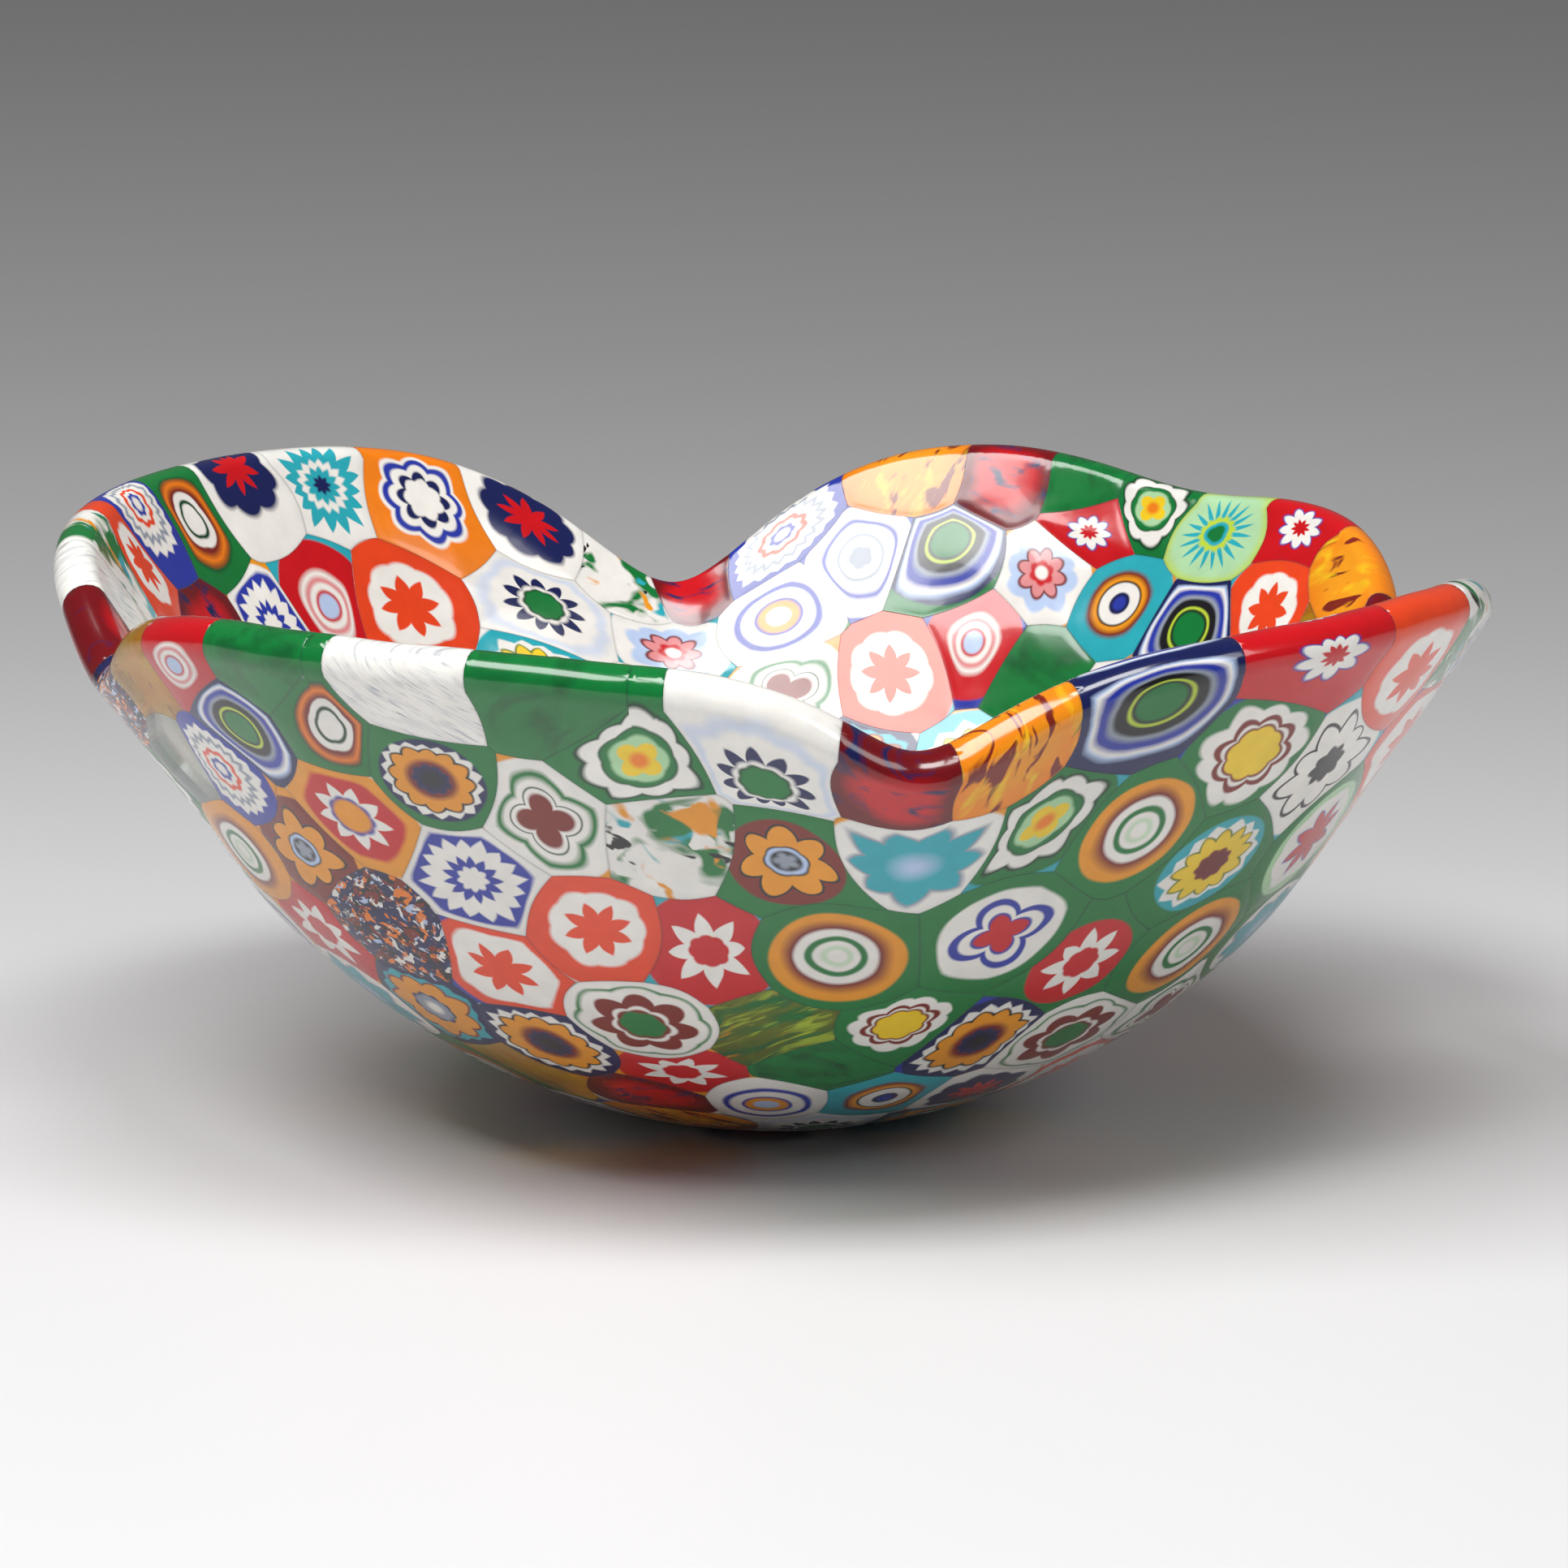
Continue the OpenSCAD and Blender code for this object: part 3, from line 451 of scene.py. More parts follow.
# Seam round a slice. Each edge bows towards the softer slice by half a sine wave. At the lip the seam
# runs straight out to the edge of the wall, evenly round the lip's half circle, and then along the edge.
def sliceOutline(i):
    corners, across = sliceCorners(i)
    rim = across >= len(sites)
    onLip = rim | np.roll(rim, 1)
    onCircle = corners * lipDisc / lengths(corners)[:, None]
    corners = np.where(onLip[:, None], onCircle, corners)
    roundLip = np.sin(np.linspace(0, math.pi / 2, surface["lipSteps"]))
    overLip = discRadius(lipStart + halfGlass * roundLip) / lipDisc
    points = []
    for k in range(len(corners)):
        a, b = corners[k], corners[(k + 1) % len(corners)]
        real = np.linalg.norm(wallMiddle(b) - wallMiddle(a))
        steps = max(2, int(round(real / surface["seamStep"])))
        t = (np.arange(steps) / steps)[:, None]
        if rim[k]:
            along = a + (b - a) * t
            if not rim[k - 1]:
                points.append(a * overLip[:-1, None])
            points.append(along * edgeDisc / lengths(along)[:, None])
            if not rim[(k + 1) % len(corners)]:
                points.append(b * overLip[:0:-1, None])
        else:
            bow = bowl["seamBow"] * (firmness[i] - firmness[across[k]])
            seam = a + (b - a) * t + np.array([(b - a)[1], -(b - a)[0]]) * bow * np.sin(math.pi * t)
            points.append(seam * np.minimum(1, lipDisc / lengths(seam))[:, None])
    return np.concatenate(points)


# The middle of an outline's area: the triangles' middles, weighed by twice their areas.
def areaMiddle(outline):
    ahead = np.roll(outline, -1, 0)
    twice = outline[:, 0] * ahead[:, 1] - ahead[:, 0] * outline[:, 1]
    return ((outline + ahead) * twice[:, None]).sum(0) / (3 * twice.sum())


# How far each point lies from the nearest seam. The lip's edge isn't a seam.
def seamDistance(p, outline):
    ahead = np.roll(outline, -1, 0)
    onEdge = lengths(outline) > edgeDisc - 1e-6
    isSeam = ~(onEdge & np.roll(onEdge, -1))
    start, step = outline[isSeam], (ahead - outline)[isSeam]
    longest = np.maximum((step ** 2).sum(1), 1e-12)
    share = np.clip(((p[:, None] - start) * step).sum(-1) / longest, 0, 1)
    return lengths(start + share[..., None] * step - p[:, None]).min(1)


# The middle that a slice's rows run out from: a little off the middle of its area, or as far off it as
# its pattern was dragged. Where the slice reaches the lip, it is turned to face its own stretch of lip.
def sliceMiddle(i, outline):
    luck = sliceChance[i]
    middle = areaMiddle(outline)
    reach = lengths(outline - middle).mean()
    outward = sites[i] / max(np.linalg.norm(sites[i]), 1e-9)
    sideways = np.array([-outward[1], outward[0]])
    wander = (2 * luck[:2] - 1) * firing["wander"]
    lift, slide = dragged.get((sliceNames[i], sitePlaces[i, 1]), wander)
    middle = middle + reach * (lift * outward + slide * sideways)
    onEdge = outline[lengths(outline) > edgeDisc - 1e-6]
    if len(onEdge):
        off = np.arctan2(middle[0] * onEdge[:, 1] - middle[1] * onEdge[:, 0], onEdge @ middle)
        turn = np.clip(0, off.min() + firing["lipMargin"], off.max() - firing["lipMargin"])
        middle = np.array([[math.cos(turn), -math.sin(turn)], [math.sin(turn), math.cos(turn)]]) @ middle
    return middle


# Pattern place of every grid point of a slice, and how far out each lies as a share of the slice's mean
# radius. The pattern is squeezed most of the way to the slice's own oval. Inside it stays round, and
# towards the seam it takes the outline's shape, by the square of the way out.
def slicePattern(i, spoke, t):
    spread, axes = np.linalg.eigh(np.cov(spoke.T))
    evened = axes @ np.diag((math.sqrt(spread[0] * spread[1]) / spread) ** firing["squeeze"]) @ axes.T
    evenSpoke = spoke @ evened
    length = lengths(evenSpoke)
    turn = np.arctan2(evenSpoke[:, 1], evenSpoke[:, 0]) + 2 * math.pi * sliceChance[i, 3]
    blend = np.clip((t - firing["roundTo"]) / (1 - firing["roundTo"]), 0, 1)[:, None] ** 2
    wide = t[:, None] * length / length.mean()
    radial = (1 - blend) * wide + blend * t[:, None]
    pattern = np.stack([radial * np.cos(turn), radial * np.sin(turn)], -1).reshape(-1, 2)
    room = 1 + firing["fillerRoom"] * fillerOf(i)[3]
    return np.concatenate([[[0, 0]], pattern]) * room, np.concatenate([[0], wide.ravel()]) * room


# One slice on a grid of rows from its middle to its seam. Its two faces lie either side of the wall's
# middle by half the thickness and the crown. The crown is one less a bell curve of the distance from
# the seam, faded out along the lip, less a narrow bell curve for the groove.
# Returns its points, its faces with a bake place for every corner, and what its pattern follows.
def sliceSurface(i):
    outline = sliceOutline(i)
    middle = sliceMiddle(i, outline)
    spoke = outline - middle
    count, rows = len(outline), surface["rows"]
    t = 1 - (1 - np.arange(1, rows + 1) / rows) ** surface["rowGather"]
    disc = np.concatenate([middle[None], (middle + t[:, None, None] * spoke).reshape(-1, 2)])
    stretch = np.linalg.norm(wallMiddle(middle + [0.5, 0]) - wallMiddle(middle - [0.5, 0]))
    fromSeam = seamDistance(disc, outline) * stretch
    along = alongWall(np.hypot(disc[:, 0], disc[:, 1]))
    half = halfThickness(disc)
    calm = np.clip((lipStart - along) / surface["calmLip"], 0, 1)
    proud = surface["crown"] * (surface["crownLeast"] + surface["crownSpread"] * sliceChance[i, 2])
    crown = proud * (1 - np.exp(-(fromSeam / surface["crownRise"]) ** 2))
    groove = surface["groove"] * np.exp(-(fromSeam / surface["grooveWidth"]) ** 2) * half / halfGlass
    crown = crown * calm ** 2 * (3 - 2 * calm) - groove
    normal = wallNormal(disc)
    centre = wallMiddle(disc) + surface["ripple"] * swell(disc)[:, None] * normal
    inner = centre + normal * (half + crown)[:, None]
    outer = centre - normal * (half + crown)[:, None]
    outer[:, 2] = np.maximum(outer[:, 2], 0)  # ground flat

    pattern, corner = slicePattern(i, spoke, t)
    # Heat of the last firing: all over the inside, and only towards the lip outside.
    height = along / bowl["wallLength"]
    melt = np.clip((height - firing["meltStart"]) / firing["meltRise"], 0, 1)
    innerHeat = firing["innerHeat"] + (1 - firing["innerHeat"]) * melt

    total = 1 + rows * count
    around = np.arange(count)
    after = (around + 1) % count
    fan = np.stack([np.zeros(count, int), 1 + around, 1 + after], -1)
    step = (np.arange(rows - 1) * count)[:, None]
    quads = np.stack([1 + step + around, 1 + step + count + around, 1 + step + count + after,
                      1 + step + after], -1).reshape(-1, 4)
    last = 1 + (rows - 1) * count
    sides = np.concatenate([
        np.stack([total + last + around, total + last + after, last + after], -1),
        np.stack([total + last + around, last + after, last + around], -1)])
    shut = half[last:] < 1e-6
    joined = np.arange(2 * total)
    joined[total + last:][shut] = last + around[shut]
    sideWall = joined[sides]
    real = (sideWall != np.roll(sideWall, 1, 1)).all(1)
    # Bake places: the two faces as flat discs, the seam wall as one thin strip.
    flat = np.concatenate([[[0, 0]], (t[:, None, None] * spoke).reshape(-1, 2)]) / np.abs(spoke).max()
    strip = np.concatenate([
        np.stack([around, around + 1, around + 1], -1), np.stack([around, around + 1, around], -1)]) / count
    level = np.concatenate([np.tile([0, 0, 1.0], (count, 1)), np.tile([0, 1.0, 1.0], (count, 1))])
    return {
        "points": np.concatenate([inner, outer]) * 0.001,
        "pattern": np.concatenate([pattern, pattern]),
        "fromSeam": np.tile(fromSeam, 2),
        "corner": np.tile(corner, 2), "heat": np.concatenate([innerHeat, melt]),
        "innerTriangles": fan, "innerQuads": quads,
        "outerTriangles": fan[:, ::-1] + total, "outerQuads": joined[quads[:, ::-1] + total],
        "sideTriangles": sideWall[real],
        "flat": flat, "total": total, "strip": np.stack([strip, level], -1)[real],
    }


# A mesh from whole arrays of corners. Maps are by face corner and attributes by point.
def makeMesh(name, points, triangles, quads, smooth, maps, attributes):
    corners = np.concatenate([triangles.ravel(), quads.ravel()])
    used, renumbered = np.unique(corners, return_inverse=True)
    sizes = np.concatenate([np.full(len(triangles), 3), np.full(len(quads), 4)])
    mesh = bpy.data.meshes.new(name)
    mesh.vertices.add(len(used))
    mesh.vertices.foreach_set("co", points[used].ravel())
    mesh.loops.add(len(corners))
    mesh.loops.foreach_set("vertex_index", renumbered.ravel())
    mesh.polygons.add(len(sizes))
    mesh.polygons.foreach_set("loop_start", np.concatenate([[0], np.cumsum(sizes)[:-1]]))
    mesh.polygons.foreach_set("use_smooth", smooth)
    mesh.update(calc_edges=True)
    for key, values in maps.items():
        mesh.uv_layers.new(name=key).data.foreach_set("uv", values.ravel())
    for key, values in attributes.items():
        kind, field = ("FLOAT", "value") if values.ndim == 1 else ("FLOAT_COLOR", "color")
        mesh.attributes.new(key, kind, "POINT").data.foreach_set(field, values[used].ravel())
    mesh.validate()
    return mesh


# The square bake sheet of a cane, as shares of its side: a band at the foot for each slice's seam wall,
# how much of the band and of a face's own square is filled, and the space under each wall's strip.
bakeSheet = {"band": 0.02, "strip": 0.6, "under": 0.2, "halfFace": 0.485}


# A whole cane: all its slices in one mesh, each slice's faces and seam wall packed side by side on the
# bake sheet.
def cutCane(name):
    members = [i for i, cut in enumerate(sliceNames) if cut == name]
    across = math.ceil(math.sqrt(2 * len(members)))
    down = math.ceil(2 * len(members) / across)
    bandTop = bakeSheet["band"] * len(members)
    size = np.array([1 / across, (1 - bandTop) / down])
    points, triangles, quads, triangleBake, quadBake, smooth = [], [], [], [], [], []
    found = {"pattern": [], "fromSeam": [], "corner": [], "heat": [], "luck": [], "filler": []}
    offset = 0
    for k, i in enumerate(members):
        s = sliceSurface(i)
        total = s["total"]
        for side, face in enumerate(("inner", "outer")):
            column, row = (2 * k + side) % across, (2 * k + side) // across
            place = np.array([column + 0.5, row + 0.5]) * size + [0, bandTop]
            chart = np.tile(place + s["flat"] * size * bakeSheet["halfFace"], (2, 1))
            for kind, faces, bake in (("Triangles", triangles, triangleBake), ("Quads", quads, quadBake)):
                faces.append(s[face + kind] + offset)
                bake.append(chart[s[face + kind]])
            smooth.append(np.ones(len(s[face + "Triangles"]), bool))
        triangles.append(s["sideTriangles"] + offset)
        strip = s["strip"] * [1, bakeSheet["strip"]] + [0, k + bakeSheet["under"]]
        triangleBake.append(strip * [1, bakeSheet["band"]])
        smooth.append(np.zeros(len(s["sideTriangles"]), bool))
        points.append(s["points"])
        for key in ("pattern", "fromSeam", "corner", "heat"):
            found[key].append(s[key])
        found["luck"].append(np.full(2 * total, sliceChance[i, 4]))
        found["filler"].append(np.tile(fillerOf(i), (2 * total, 1)))
        offset += 2 * total
    triangles, quads, points = np.concatenate(triangles), np.concatenate(quads), np.concatenate(points)
    smooth = np.concatenate(smooth + [np.ones(len(quads), bool)])
    bake = np.concatenate([np.concatenate(places).reshape(-1, 2) for places in (triangleBake, quadBake)])
    attributes = {key: np.concatenate(values) for key, values in found.items()}
    corners = np.concatenate([triangles.ravel(), quads.ravel()])
    maps = {"Pattern": attributes.pop("pattern")[corners], "OFBake": bake}
    mesh = makeMesh(name, points, triangles, quads, smooth, maps, attributes)
    return bpy.data.objects.new(camel(name) + "Slices", mesh)


# Adds a node. An input given as another node's output is linked, and anything else is set.
def addNode(tree, kind, inputs=None, **settings):
    node = tree.nodes.new("ShaderNode" + kind)
    for key, value in settings.items():
        setattr(node, key, value)
    for key, value in (inputs or {}).items():
        if isinstance(value, bpy.types.NodeSocket):
            tree.links.new(value, node.inputs[key])
        else:
            node.inputs[key].default_value = value
    return node


def maths(tree, operation, *values, clamp=False):
    return addNode(tree, "Math", dict(enumerate(values)), operation=operation, use_clamp=clamp).outputs[0]


# Mixes two colours by a share.
def mixed(tree, share, under, over, blend="MIX"):
    inputs = {0: share, 6: under, 7: over}
    return addNode(tree, "Mix", inputs, data_type="RGBA", blend_type=blend).outputs[2]


def useGroup(tree, group, inputs):
    return addNode(tree, "Group", inputs, node_tree=group)


white = (1.0, 1.0, 1.0, 1.0)


# Starts a node group. An input's first value tells its kind, and none stands for a place.
def newGroup(name, inputs, outputs):
    tree = bpy.data.node_groups.new(name, "ShaderNodeTree")
    for key, value in inputs.items():
        kind = "Vector" if value is None else "Color" if value is white else "Float"
        socket = tree.interface.new_socket(name=key, in_out="INPUT", socket_type="NodeSocket" + kind)
        if value is not None:
            socket.default_value = value
    for key, kind in outputs.items():
        tree.interface.new_socket(name=key, in_out="OUTPUT", socket_type="NodeSocket" + kind)
    return tree, tree.nodes.new("NodeGroupInput").outputs, tree.nodes.new("NodeGroupOutput")


# Pattern place in a slice, from its own map, pulled about by slow noise as hot glass is.
def makePullGroup():
    tree, given, out = newGroup("hotGlassPull", {
        "Pattern": None, "Object": None, "Heat": 0.0, "Pull": 0.07, "Hot Pull": 0.13, "Size": 170.0},
        {"Place": "Vector"})
    noise = addNode(tree, "TexNoise", {"Vector": given["Object"], "Scale": given["Size"], "Detail": 1.5})
    centred = addNode(tree, "VectorMath", {0: noise.outputs["Color"], 1: (0.5, 0.5, 0.5)},
                      operation="SUBTRACT")
    pull = maths(tree, "MULTIPLY_ADD", given["Heat"], given["Hot Pull"], given["Pull"])
    scaled = addNode(tree, "VectorMath", {0: centred.outputs[0], "Scale": pull}, operation="SCALE")
    flat = addNode(tree, "VectorMath", {0: scaled.outputs[0], 1: (2.0, 2.0, 0.0)}, operation="MULTIPLY")
    moved = addNode(tree, "VectorMath", {0: given["Pattern"], 1: flat.outputs[0]}, operation="ADD")
    tree.links.new(moved.outputs[0], out.inputs["Place"])
    return tree


# How heat blurs a cane's layers and leaves a blue haze along the white ones.
blurring = {"rise": 5.0, "hazeWidth": 2.2, "hazeShift": 0.62, "hazeColour": (0.05, 0.09, 0.36, 1)}


# Mask of one layer of a cane: inside a radius that dips by the notch between lobes. A lobe is a zigzag
# of the turn, or a half sine where it is round. Heat softens the edge and leaves a blue haze along it.
def makeLayerGroup():
    tree, given, out = newGroup("caneLayer", {
        "Place": None, "Under": white, "Colour": white, "Radius": 0.5, "Lobes": 0.0, "Notch": 0.0,
        "Roundness": 0.0, "Blur": 0.02, "Heat": 0.0, "Haze": 0.0}, {"Colour": "Color"})
    apart = addNode(tree, "SeparateXYZ", {0: given["Place"]})
    length = addNode(tree, "VectorMath", {0: given["Place"]}, operation="LENGTH").outputs["Value"]
    angle = maths(tree, "ARCTAN2", apart.outputs[1], apart.outputs[0])
    turns = maths(tree, "MULTIPLY", angle, 1 / (2 * math.pi))
    lobes = maths(tree, "MULTIPLY", turns, given["Lobes"])
    zigzag = maths(tree, "MULTIPLY", maths(tree, "PINGPONG", lobes, 0.5), 2.0)
    bulge = maths(tree, "SINE", maths(tree, "MULTIPLY", zigzag, math.pi / 2))
    lobe = maths(tree, "ADD", zigzag, maths(tree, "MULTIPLY", maths(tree, "SUBTRACT", bulge, zigzag),
                                            given["Roundness"]))
    edge = maths(tree, "SUBTRACT", given["Radius"],
                 maths(tree, "MULTIPLY", given["Notch"], maths(tree, "SUBTRACT", 1.0, lobe)))
    spread = maths(tree, "MULTIPLY_ADD", given["Heat"], blurring["rise"], 1.0)
    blur = maths(tree, "MULTIPLY", given["Blur"], spread)
    inside = maths(tree, "DIVIDE", maths(tree, "SUBTRACT", edge, length), blur)
    mask = maths(tree, "MULTIPLY_ADD", inside, 0.5, 0.5, clamp=True)
    wide = maths(tree, "MULTIPLY_ADD", inside, 0.5 / blurring["hazeWidth"], blurring["hazeShift"], clamp=True)
    band = maths(tree, "MULTIPLY", maths(tree, "MULTIPLY", wide, maths(tree, "SUBTRACT", 1.0, wide)), 4.0)
    haze = maths(tree, "MULTIPLY", maths(tree, "MULTIPLY", band, given["Heat"]), given["Haze"])
    plain = mixed(tree, mask, given["Under"], given["Colour"])
    tree.links.new(mixed(tree, haze, plain, blurring["hazeColour"]), out.inputs["Colour"])
    return tree


# Streaks of a second colour drawn out through the glass: noise above a level, stretched one way.
def makeStreakGroup():
    tree, given, out = newGroup("glassStreak", {
        "Place": None, "Luck": 0.0, "Under": white, "Colour": white, "Size": 2.0, "Stretch": 3.0,
        "Share": 0.5, "Blur": 0.05, "Twist": 0.5}, {"Colour": "Color"})
    apart = addNode(tree, "SeparateXYZ", {0: given["Place"]})
    drawn = addNode(tree, "CombineXYZ", {
        0: maths(tree, "MULTIPLY", apart.outputs[0], given["Stretch"]), 1: apart.outputs[1],
        2: maths(tree, "MULTIPLY", given["Luck"], 37.0)})
    noise = addNode(tree, "TexNoise", {
        "Vector": drawn.outputs[0], "Scale": given["Size"], "Detail": 2.0, "Distortion": given["Twist"]})
    above = maths(tree, "SUBTRACT", noise.outputs[0], maths(tree, "SUBTRACT", 1.0, given["Share"]))
    mask = maths(tree, "MULTIPLY_ADD", maths(tree, "DIVIDE", above, given["Blur"]), 0.5, 0.5, clamp=True)
    tree.links.new(mixed(tree, mask, given["Under"], given["Colour"]), out.inputs["Colour"])
    return tree


# Sizes are noise scales in one over metres. The corner limit is where filling glass begins, as a share
# of the slice's radius, and it swings, falls in packed regions and rises at the lip.
fused = {
    "cornerLimit": 1.04, "limitSwing": 0.16, "limitSize": 120.0, "packedFall": 0.20, "lipRise": 0.6,
    "cornerEdge": 22.0, "cloudSize": 420.0, "cloudDepth": 0.24, "cloudFloor": 0.82, "luckShade": 0.12,
    "seamEdge": 5.0, "seamColour": (0.02, 0.035, 0.05, 1), "hotSeam": 0.12, "swellSize": 260.0,
    "speckSize": 1500.0, "speckShare": 0.06, "polishSize": 90.0, "polishDepth": 0.08, "satin": 0.12,
}


# Finish of the fused surface: filling glass round the slice, a fine dark seam, cloudiness, and the
# small swells, specks and polish marks of hand-finished glass.
def makeFinishGroup():
    tree, given, out = newGroup("fusedFinish", {
        "Object": None, "Colour": white, "From Seam": 1.0, "Luck": 0.5, "Filler": white,
        "Filler Share": 0.0, "Corner": 0.0, "Heat": 0.0, "Seam Dark": 0.3},
        {"Colour": "Color", "Height": "Float", "Roughness": "Float"})

    def noise(size, detail):
        inputs = {"Vector": given["Object"], "Scale": size, "Detail": detail}
        return addNode(tree, "TexNoise", inputs).outputs[0]

    def scaled(value, factor, added, clamp=False):
        return maths(tree, "MULTIPLY_ADD", value, factor, added, clamp=clamp)

    limit = scaled(noise(fused["limitSize"], 1.0), fused["limitSwing"], fused["cornerLimit"])
    limit = scaled(given["Filler Share"], -fused["packedFall"], limit)
    lip = maths(tree, "SUBTRACT", given["Heat"], firing["innerHeat"])
    lip = maths(tree, "MULTIPLY", lip, 1 / (1 - firing["innerHeat"]), clamp=True)
    past = maths(tree, "SUBTRACT", given["Corner"], scaled(lip, fused["lipRise"], limit))
    outside = scaled(past, fused["cornerEdge"], 0.5, clamp=True)
    filled = mixed(tree, outside, given["Colour"], given["Filler"])
    cloud = scaled(noise(fused["cloudSize"], 3.0), fused["cloudDepth"], fused["cloudFloor"])
    shade = scaled(given["Luck"], fused["luckShade"], cloud)
    grey = addNode(tree, "CombineColor", {0: shade, 1: shade, 2: shade}).outputs[0]
    clouded = mixed(tree, 1.0, filled, grey, blend="MULTIPLY")
    seam = scaled(given["From Seam"], -fused["seamEdge"], 1.0, clamp=True)
    dark = maths(tree, "MULTIPLY", seam, scaled(given["Heat"], -fused["hotSeam"], given["Seam Dark"]))
    tree.links.new(mixed(tree, dark, clouded, fused["seamColour"]), out.inputs["Colour"])
    specks = scaled(noise(fused["speckSize"], 1.0), fused["speckShare"], noise(fused["swellSize"], 2.0))
    tree.links.new(specks, out.inputs["Height"])
    satin = scaled(given["Heat"], -fused["satin"], fused["satin"])
    rough = scaled(noise(fused["polishSize"], 4.0), fused["polishDepth"], satin)
    tree.links.new(rough, out.inputs["Roughness"])
    return tree


# Shine, depth and haze of the glass, the same for every cane.
glass = {
    "ior": 1.52, "coat": 0.25, "coatRoughness": 0.03, "subsurface": 0.12, "subsurfaceScale": 0.004,
    "subsurfaceRadius": (1.0, 0.8, 0.6), "ripple": 0.12, "rippleDepth": 0.00025, "whiteHaze": 0.9,
    "edgeHaze": 0.35,
}


# Glass of a cane: its jacket, its layers from the outside in, its streaks, then the finish.
def makeCaneGlass(name, groups):
    recipe = canes[name]
    material = bpy.data.materials.new(name + "Glass")
    material.use_nodes = True
    tree = material.node_tree
    tree.nodes.clear()
    pattern = addNode(tree, "UVMap", uv_map="Pattern").outputs[0]
    objectPlace = addNode(tree, "TexCoord").outputs["Object"]
    luck, fromSeam, heat, corner = (addNode(tree, "Attribute", attribute_name=key).outputs["Fac"]
                                    for key in ("luck", "fromSeam", "heat", "corner"))
    filler = addNode(tree, "Attribute", attribute_name="filler")
    place = useGroup(tree, groups["pull"], {
        "Pattern": pattern, "Object": objectPlace, "Heat": heat}).outputs[0]
    colour, outer = glassColour(recipe["jacket"]), recipe["jacket"]
    for hue, radius, *lobed, blur in recipe.get("layers", []):
        lobes, notch, roundness = lobed or (0, 0.0, 0.0)
        haze = glass["whiteHaze"] if hue == "white" else glass["edgeHaze"] if outer == "white" else 0.0
        colour = useGroup(tree, groups["layer"], {
            "Place": place, "Under": colour, "Colour": glassColour(hue), "Radius": radius,
            "Lobes": float(lobes), "Notch": notch, "Roundness": roundness, "Blur": blur, "Heat": heat,
            "Haze": haze}).outputs[0]
        outer = hue
    for hue, size, stretch, share, blur in recipe.get("streaks", []):
        colour = useGroup(tree, groups["streak"], {
            "Place": place, "Luck": luck, "Under": colour, "Colour": glassColour(hue), "Size": size,
            "Stretch": stretch, "Share": share, "Blur": blur}).outputs[0]
    finish = useGroup(tree, groups["finish"], {
        "Object": objectPlace, "Colour": colour, "From Seam": fromSeam, "Luck": luck,
        "Filler": filler.outputs["Color"], "Filler Share": filler.outputs["Alpha"], "Corner": corner,
        "Heat": heat})
    bump = addNode(tree, "Bump", {"Strength": glass["ripple"], "Distance": glass["rippleDepth"],
                                  "Height": finish.outputs["Height"]})
    shader = addNode(tree, "BsdfPrincipled", {
        "Base Color": finish.outputs["Colour"], "Roughness": finish.outputs["Roughness"],
        "IOR": glass["ior"], "Coat Weight": glass["coat"], "Coat Roughness": glass["coatRoughness"],
        "Normal": bump.outputs[0], "Transmission Weight": recipe.get("clear", 0.0),
        "Subsurface Weight": 0.0 if "clear" in recipe else glass["subsurface"],
        "Subsurface Scale": glass["subsurfaceScale"], "Subsurface Radius": glass["subsurfaceRadius"]})
    addNode(tree, "OutputMaterial", {"Surface": shader.outputs[0]})
    return material


def linkObject(thing):
    bpy.context.scene.collection.objects.link(thing)
    return thing


groups = {"pull": makePullGroup(), "layer": makeLayerGroup(), "streak": makeStreakGroup(),
          "finish": makeFinishGroup()}
triangles = 0
for name in caneNames:
    piece = linkObject(cutCane(name))
    piece.data.materials.append(makeCaneGlass(name, groups))
    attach(piece, "root")
    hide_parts(name)
    triangles += len(piece.data.loops) - 2 * len(piece.data.polygons)
print("canes cut and fused:", len(caneNames), "with", triangles, "triangles")

# Pale floor with painted shade: its colour falls away to grey behind, where the light dims. Depths are metres
# behind the bowl, with their painted brightness.
floorLook = {
    "width": 6.0, "front": -2.5, "back": 3.0, "grid": (13, 23), "below": 0.0001, "roughness": 0.45,
    "cool": 1.01,
    "paintedBrightness": [(-0.15, 0.72), (0.02, 0.70), (0.10, 0.57), (0.22, 0.42), (0.42, 0.34), (0.76, 0.30)],
}
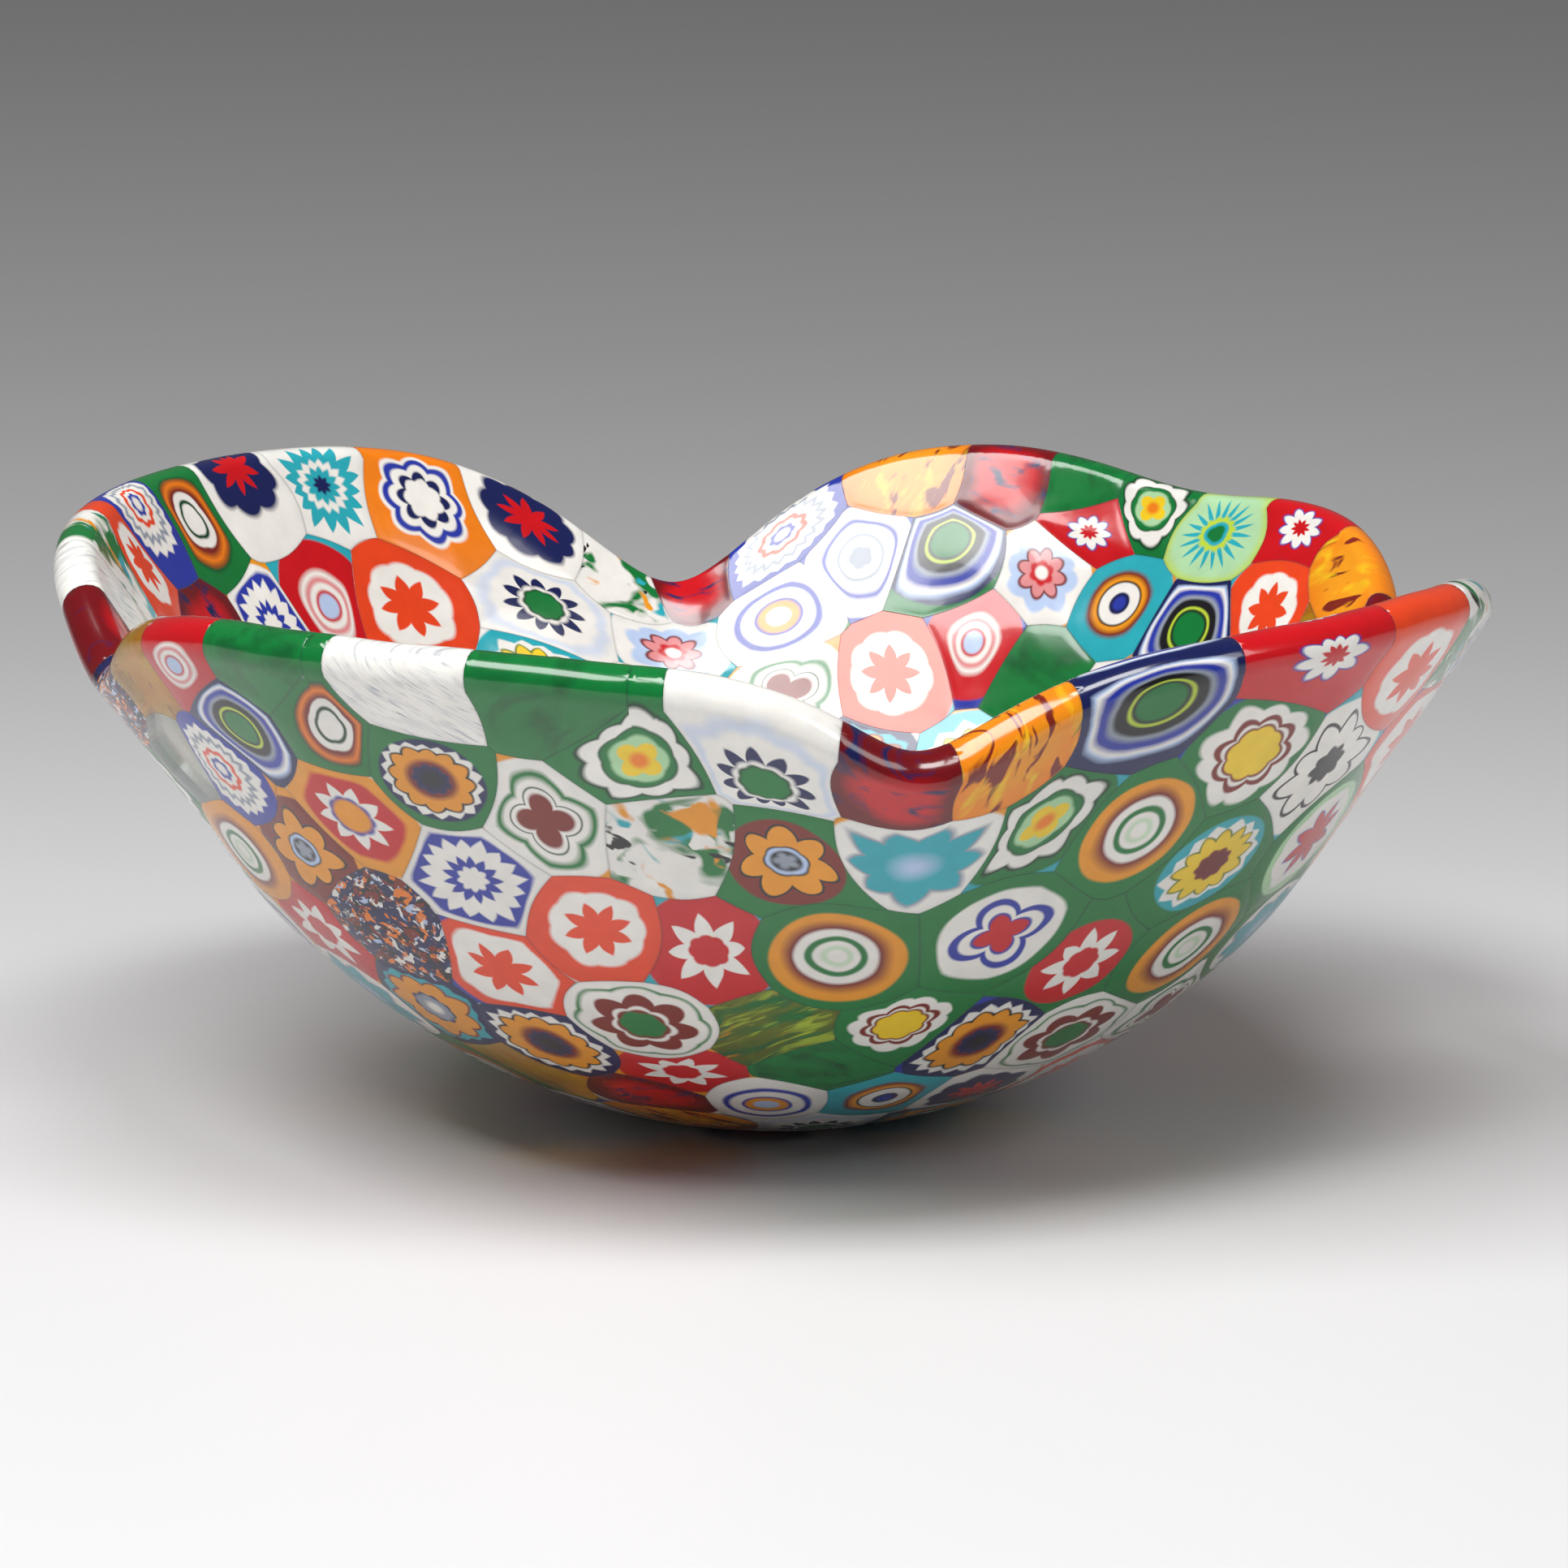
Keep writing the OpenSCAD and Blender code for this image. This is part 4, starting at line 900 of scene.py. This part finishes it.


# A flat grid coloured by a smooth ramp over its depth, which paints the shade that darkens it behind.
def makeFloor():
    look = floorLook
    across, deep = np.meshgrid(np.linspace(-look["width"] / 2, look["width"] / 2, look["grid"][0]),
                               np.linspace(look["front"], look["back"], look["grid"][1]))
    points = np.stack([across.ravel(), deep.ravel(), np.full(across.size, -look["below"])], -1)
    index = np.arange(across.size).reshape(across.shape)
    quads = np.stack([index[:-1, :-1], index[:-1, 1:], index[1:, 1:], index[1:, :-1]], -1).reshape(-1, 4)
    mesh = bpy.data.meshes.new("floor")
    mesh.from_pydata(points.tolist(), [], quads.tolist())
    floor = linkObject(bpy.data.objects.new("floor", mesh))
    material = bpy.data.materials.new("paleFloorPaintedShade")
    material.use_nodes = True
    tree = material.node_tree
    shader = tree.nodes["Principled BSDF"]
    place = addNode(tree, "SeparateXYZ", {0: addNode(tree, "TexCoord").outputs["Object"]})
    first, last = look["paintedBrightness"][0][0], look["paintedBrightness"][-1][0]
    depth = addNode(tree, "MapRange", {0: place.outputs[1], 1: first, 2: last})
    ramp = addNode(tree, "ValToRGB", {0: depth.outputs[0]})
    ramp.color_ramp.interpolation = "B_SPLINE"
    stops = ramp.color_ramp.elements
    while len(stops) < len(look["paintedBrightness"]):
        stops.new(0.5)
    # Each stop's grey is painted shade, darker towards the back.
    for stop, (far, pale) in zip(stops, look["paintedBrightness"]):
        stop.position = (far - first) / (last - first)
        stop.color = (pale, pale, pale * look["cool"], 1)
    tree.links.new(ramp.outputs[0], shader.inputs["Base Color"])
    shader.inputs["Roughness"].default_value = look["roughness"]
    floor.data.materials.append(material)


makeFloor()

# Soft boxes in a plain studio: place and aim in metres, then size and power.
lights = {
    "overhead": {"place": (0.18, -0.36, 1.2), "aim": (0.05, 0, 0), "size": (0.6, 0.35), "power": 8.0},
    "leftFront": {"place": (-0.46, -0.34, 0.95), "aim": (-0.40, -0.30, 0), "size": (0.86, 0.46),
                  "power": 11.8},
    "rightFill": {"place": (0.95, -0.35, 0.75), "aim": (0, 0, 0.02), "size": (0.35, 0.5), "power": 2.2},
}
studio = {"colour": (0.66, 0.615, 0.605, 1), "strength": 0.18}
view = {"place": (0.0, -0.7996, 0.2067), "aim": (0.0, 0.0, 0.025), "lens": 204.2, "sensor": 36.0,
        "shift": (0.0039, 0.0329)}


# Turn that points a light or camera's -Z from one place at another, with Y kept up.
def aimed(place, aim):
    return (Vector(aim) - Vector(place)).to_track_quat("-Z", "Y").to_euler()


for name, look in lights.items():
    lamp = bpy.data.lights.new(name, "AREA")
    lamp.shape = "RECTANGLE"
    lamp.size, lamp.size_y = look["size"]
    lamp.energy = look["power"]
    thing = linkObject(bpy.data.objects.new(name, lamp))
    thing.location = look["place"]
    thing.rotation_euler = aimed(look["place"], look["aim"])

world = bpy.data.worlds.new("studio")
world.use_nodes = True
backdrop = world.node_tree.nodes["Background"].inputs
backdrop["Color"].default_value, backdrop["Strength"].default_value = studio["colour"], studio["strength"]
bpy.context.scene.world = world

camera = bpy.data.cameras.new("camera")
camera.lens = view["lens"]
camera.sensor_width = view["sensor"]
camera.shift_x, camera.shift_y = view["shift"]
viewer = linkObject(bpy.data.objects.new("camera", camera))
viewer.location = view["place"]
viewer.rotation_euler = aimed(view["place"], view["aim"])
bpy.context.scene.camera = viewer
bpy.context.scene.view_settings.view_transform = "Standard"
print("stage, lights and camera set")
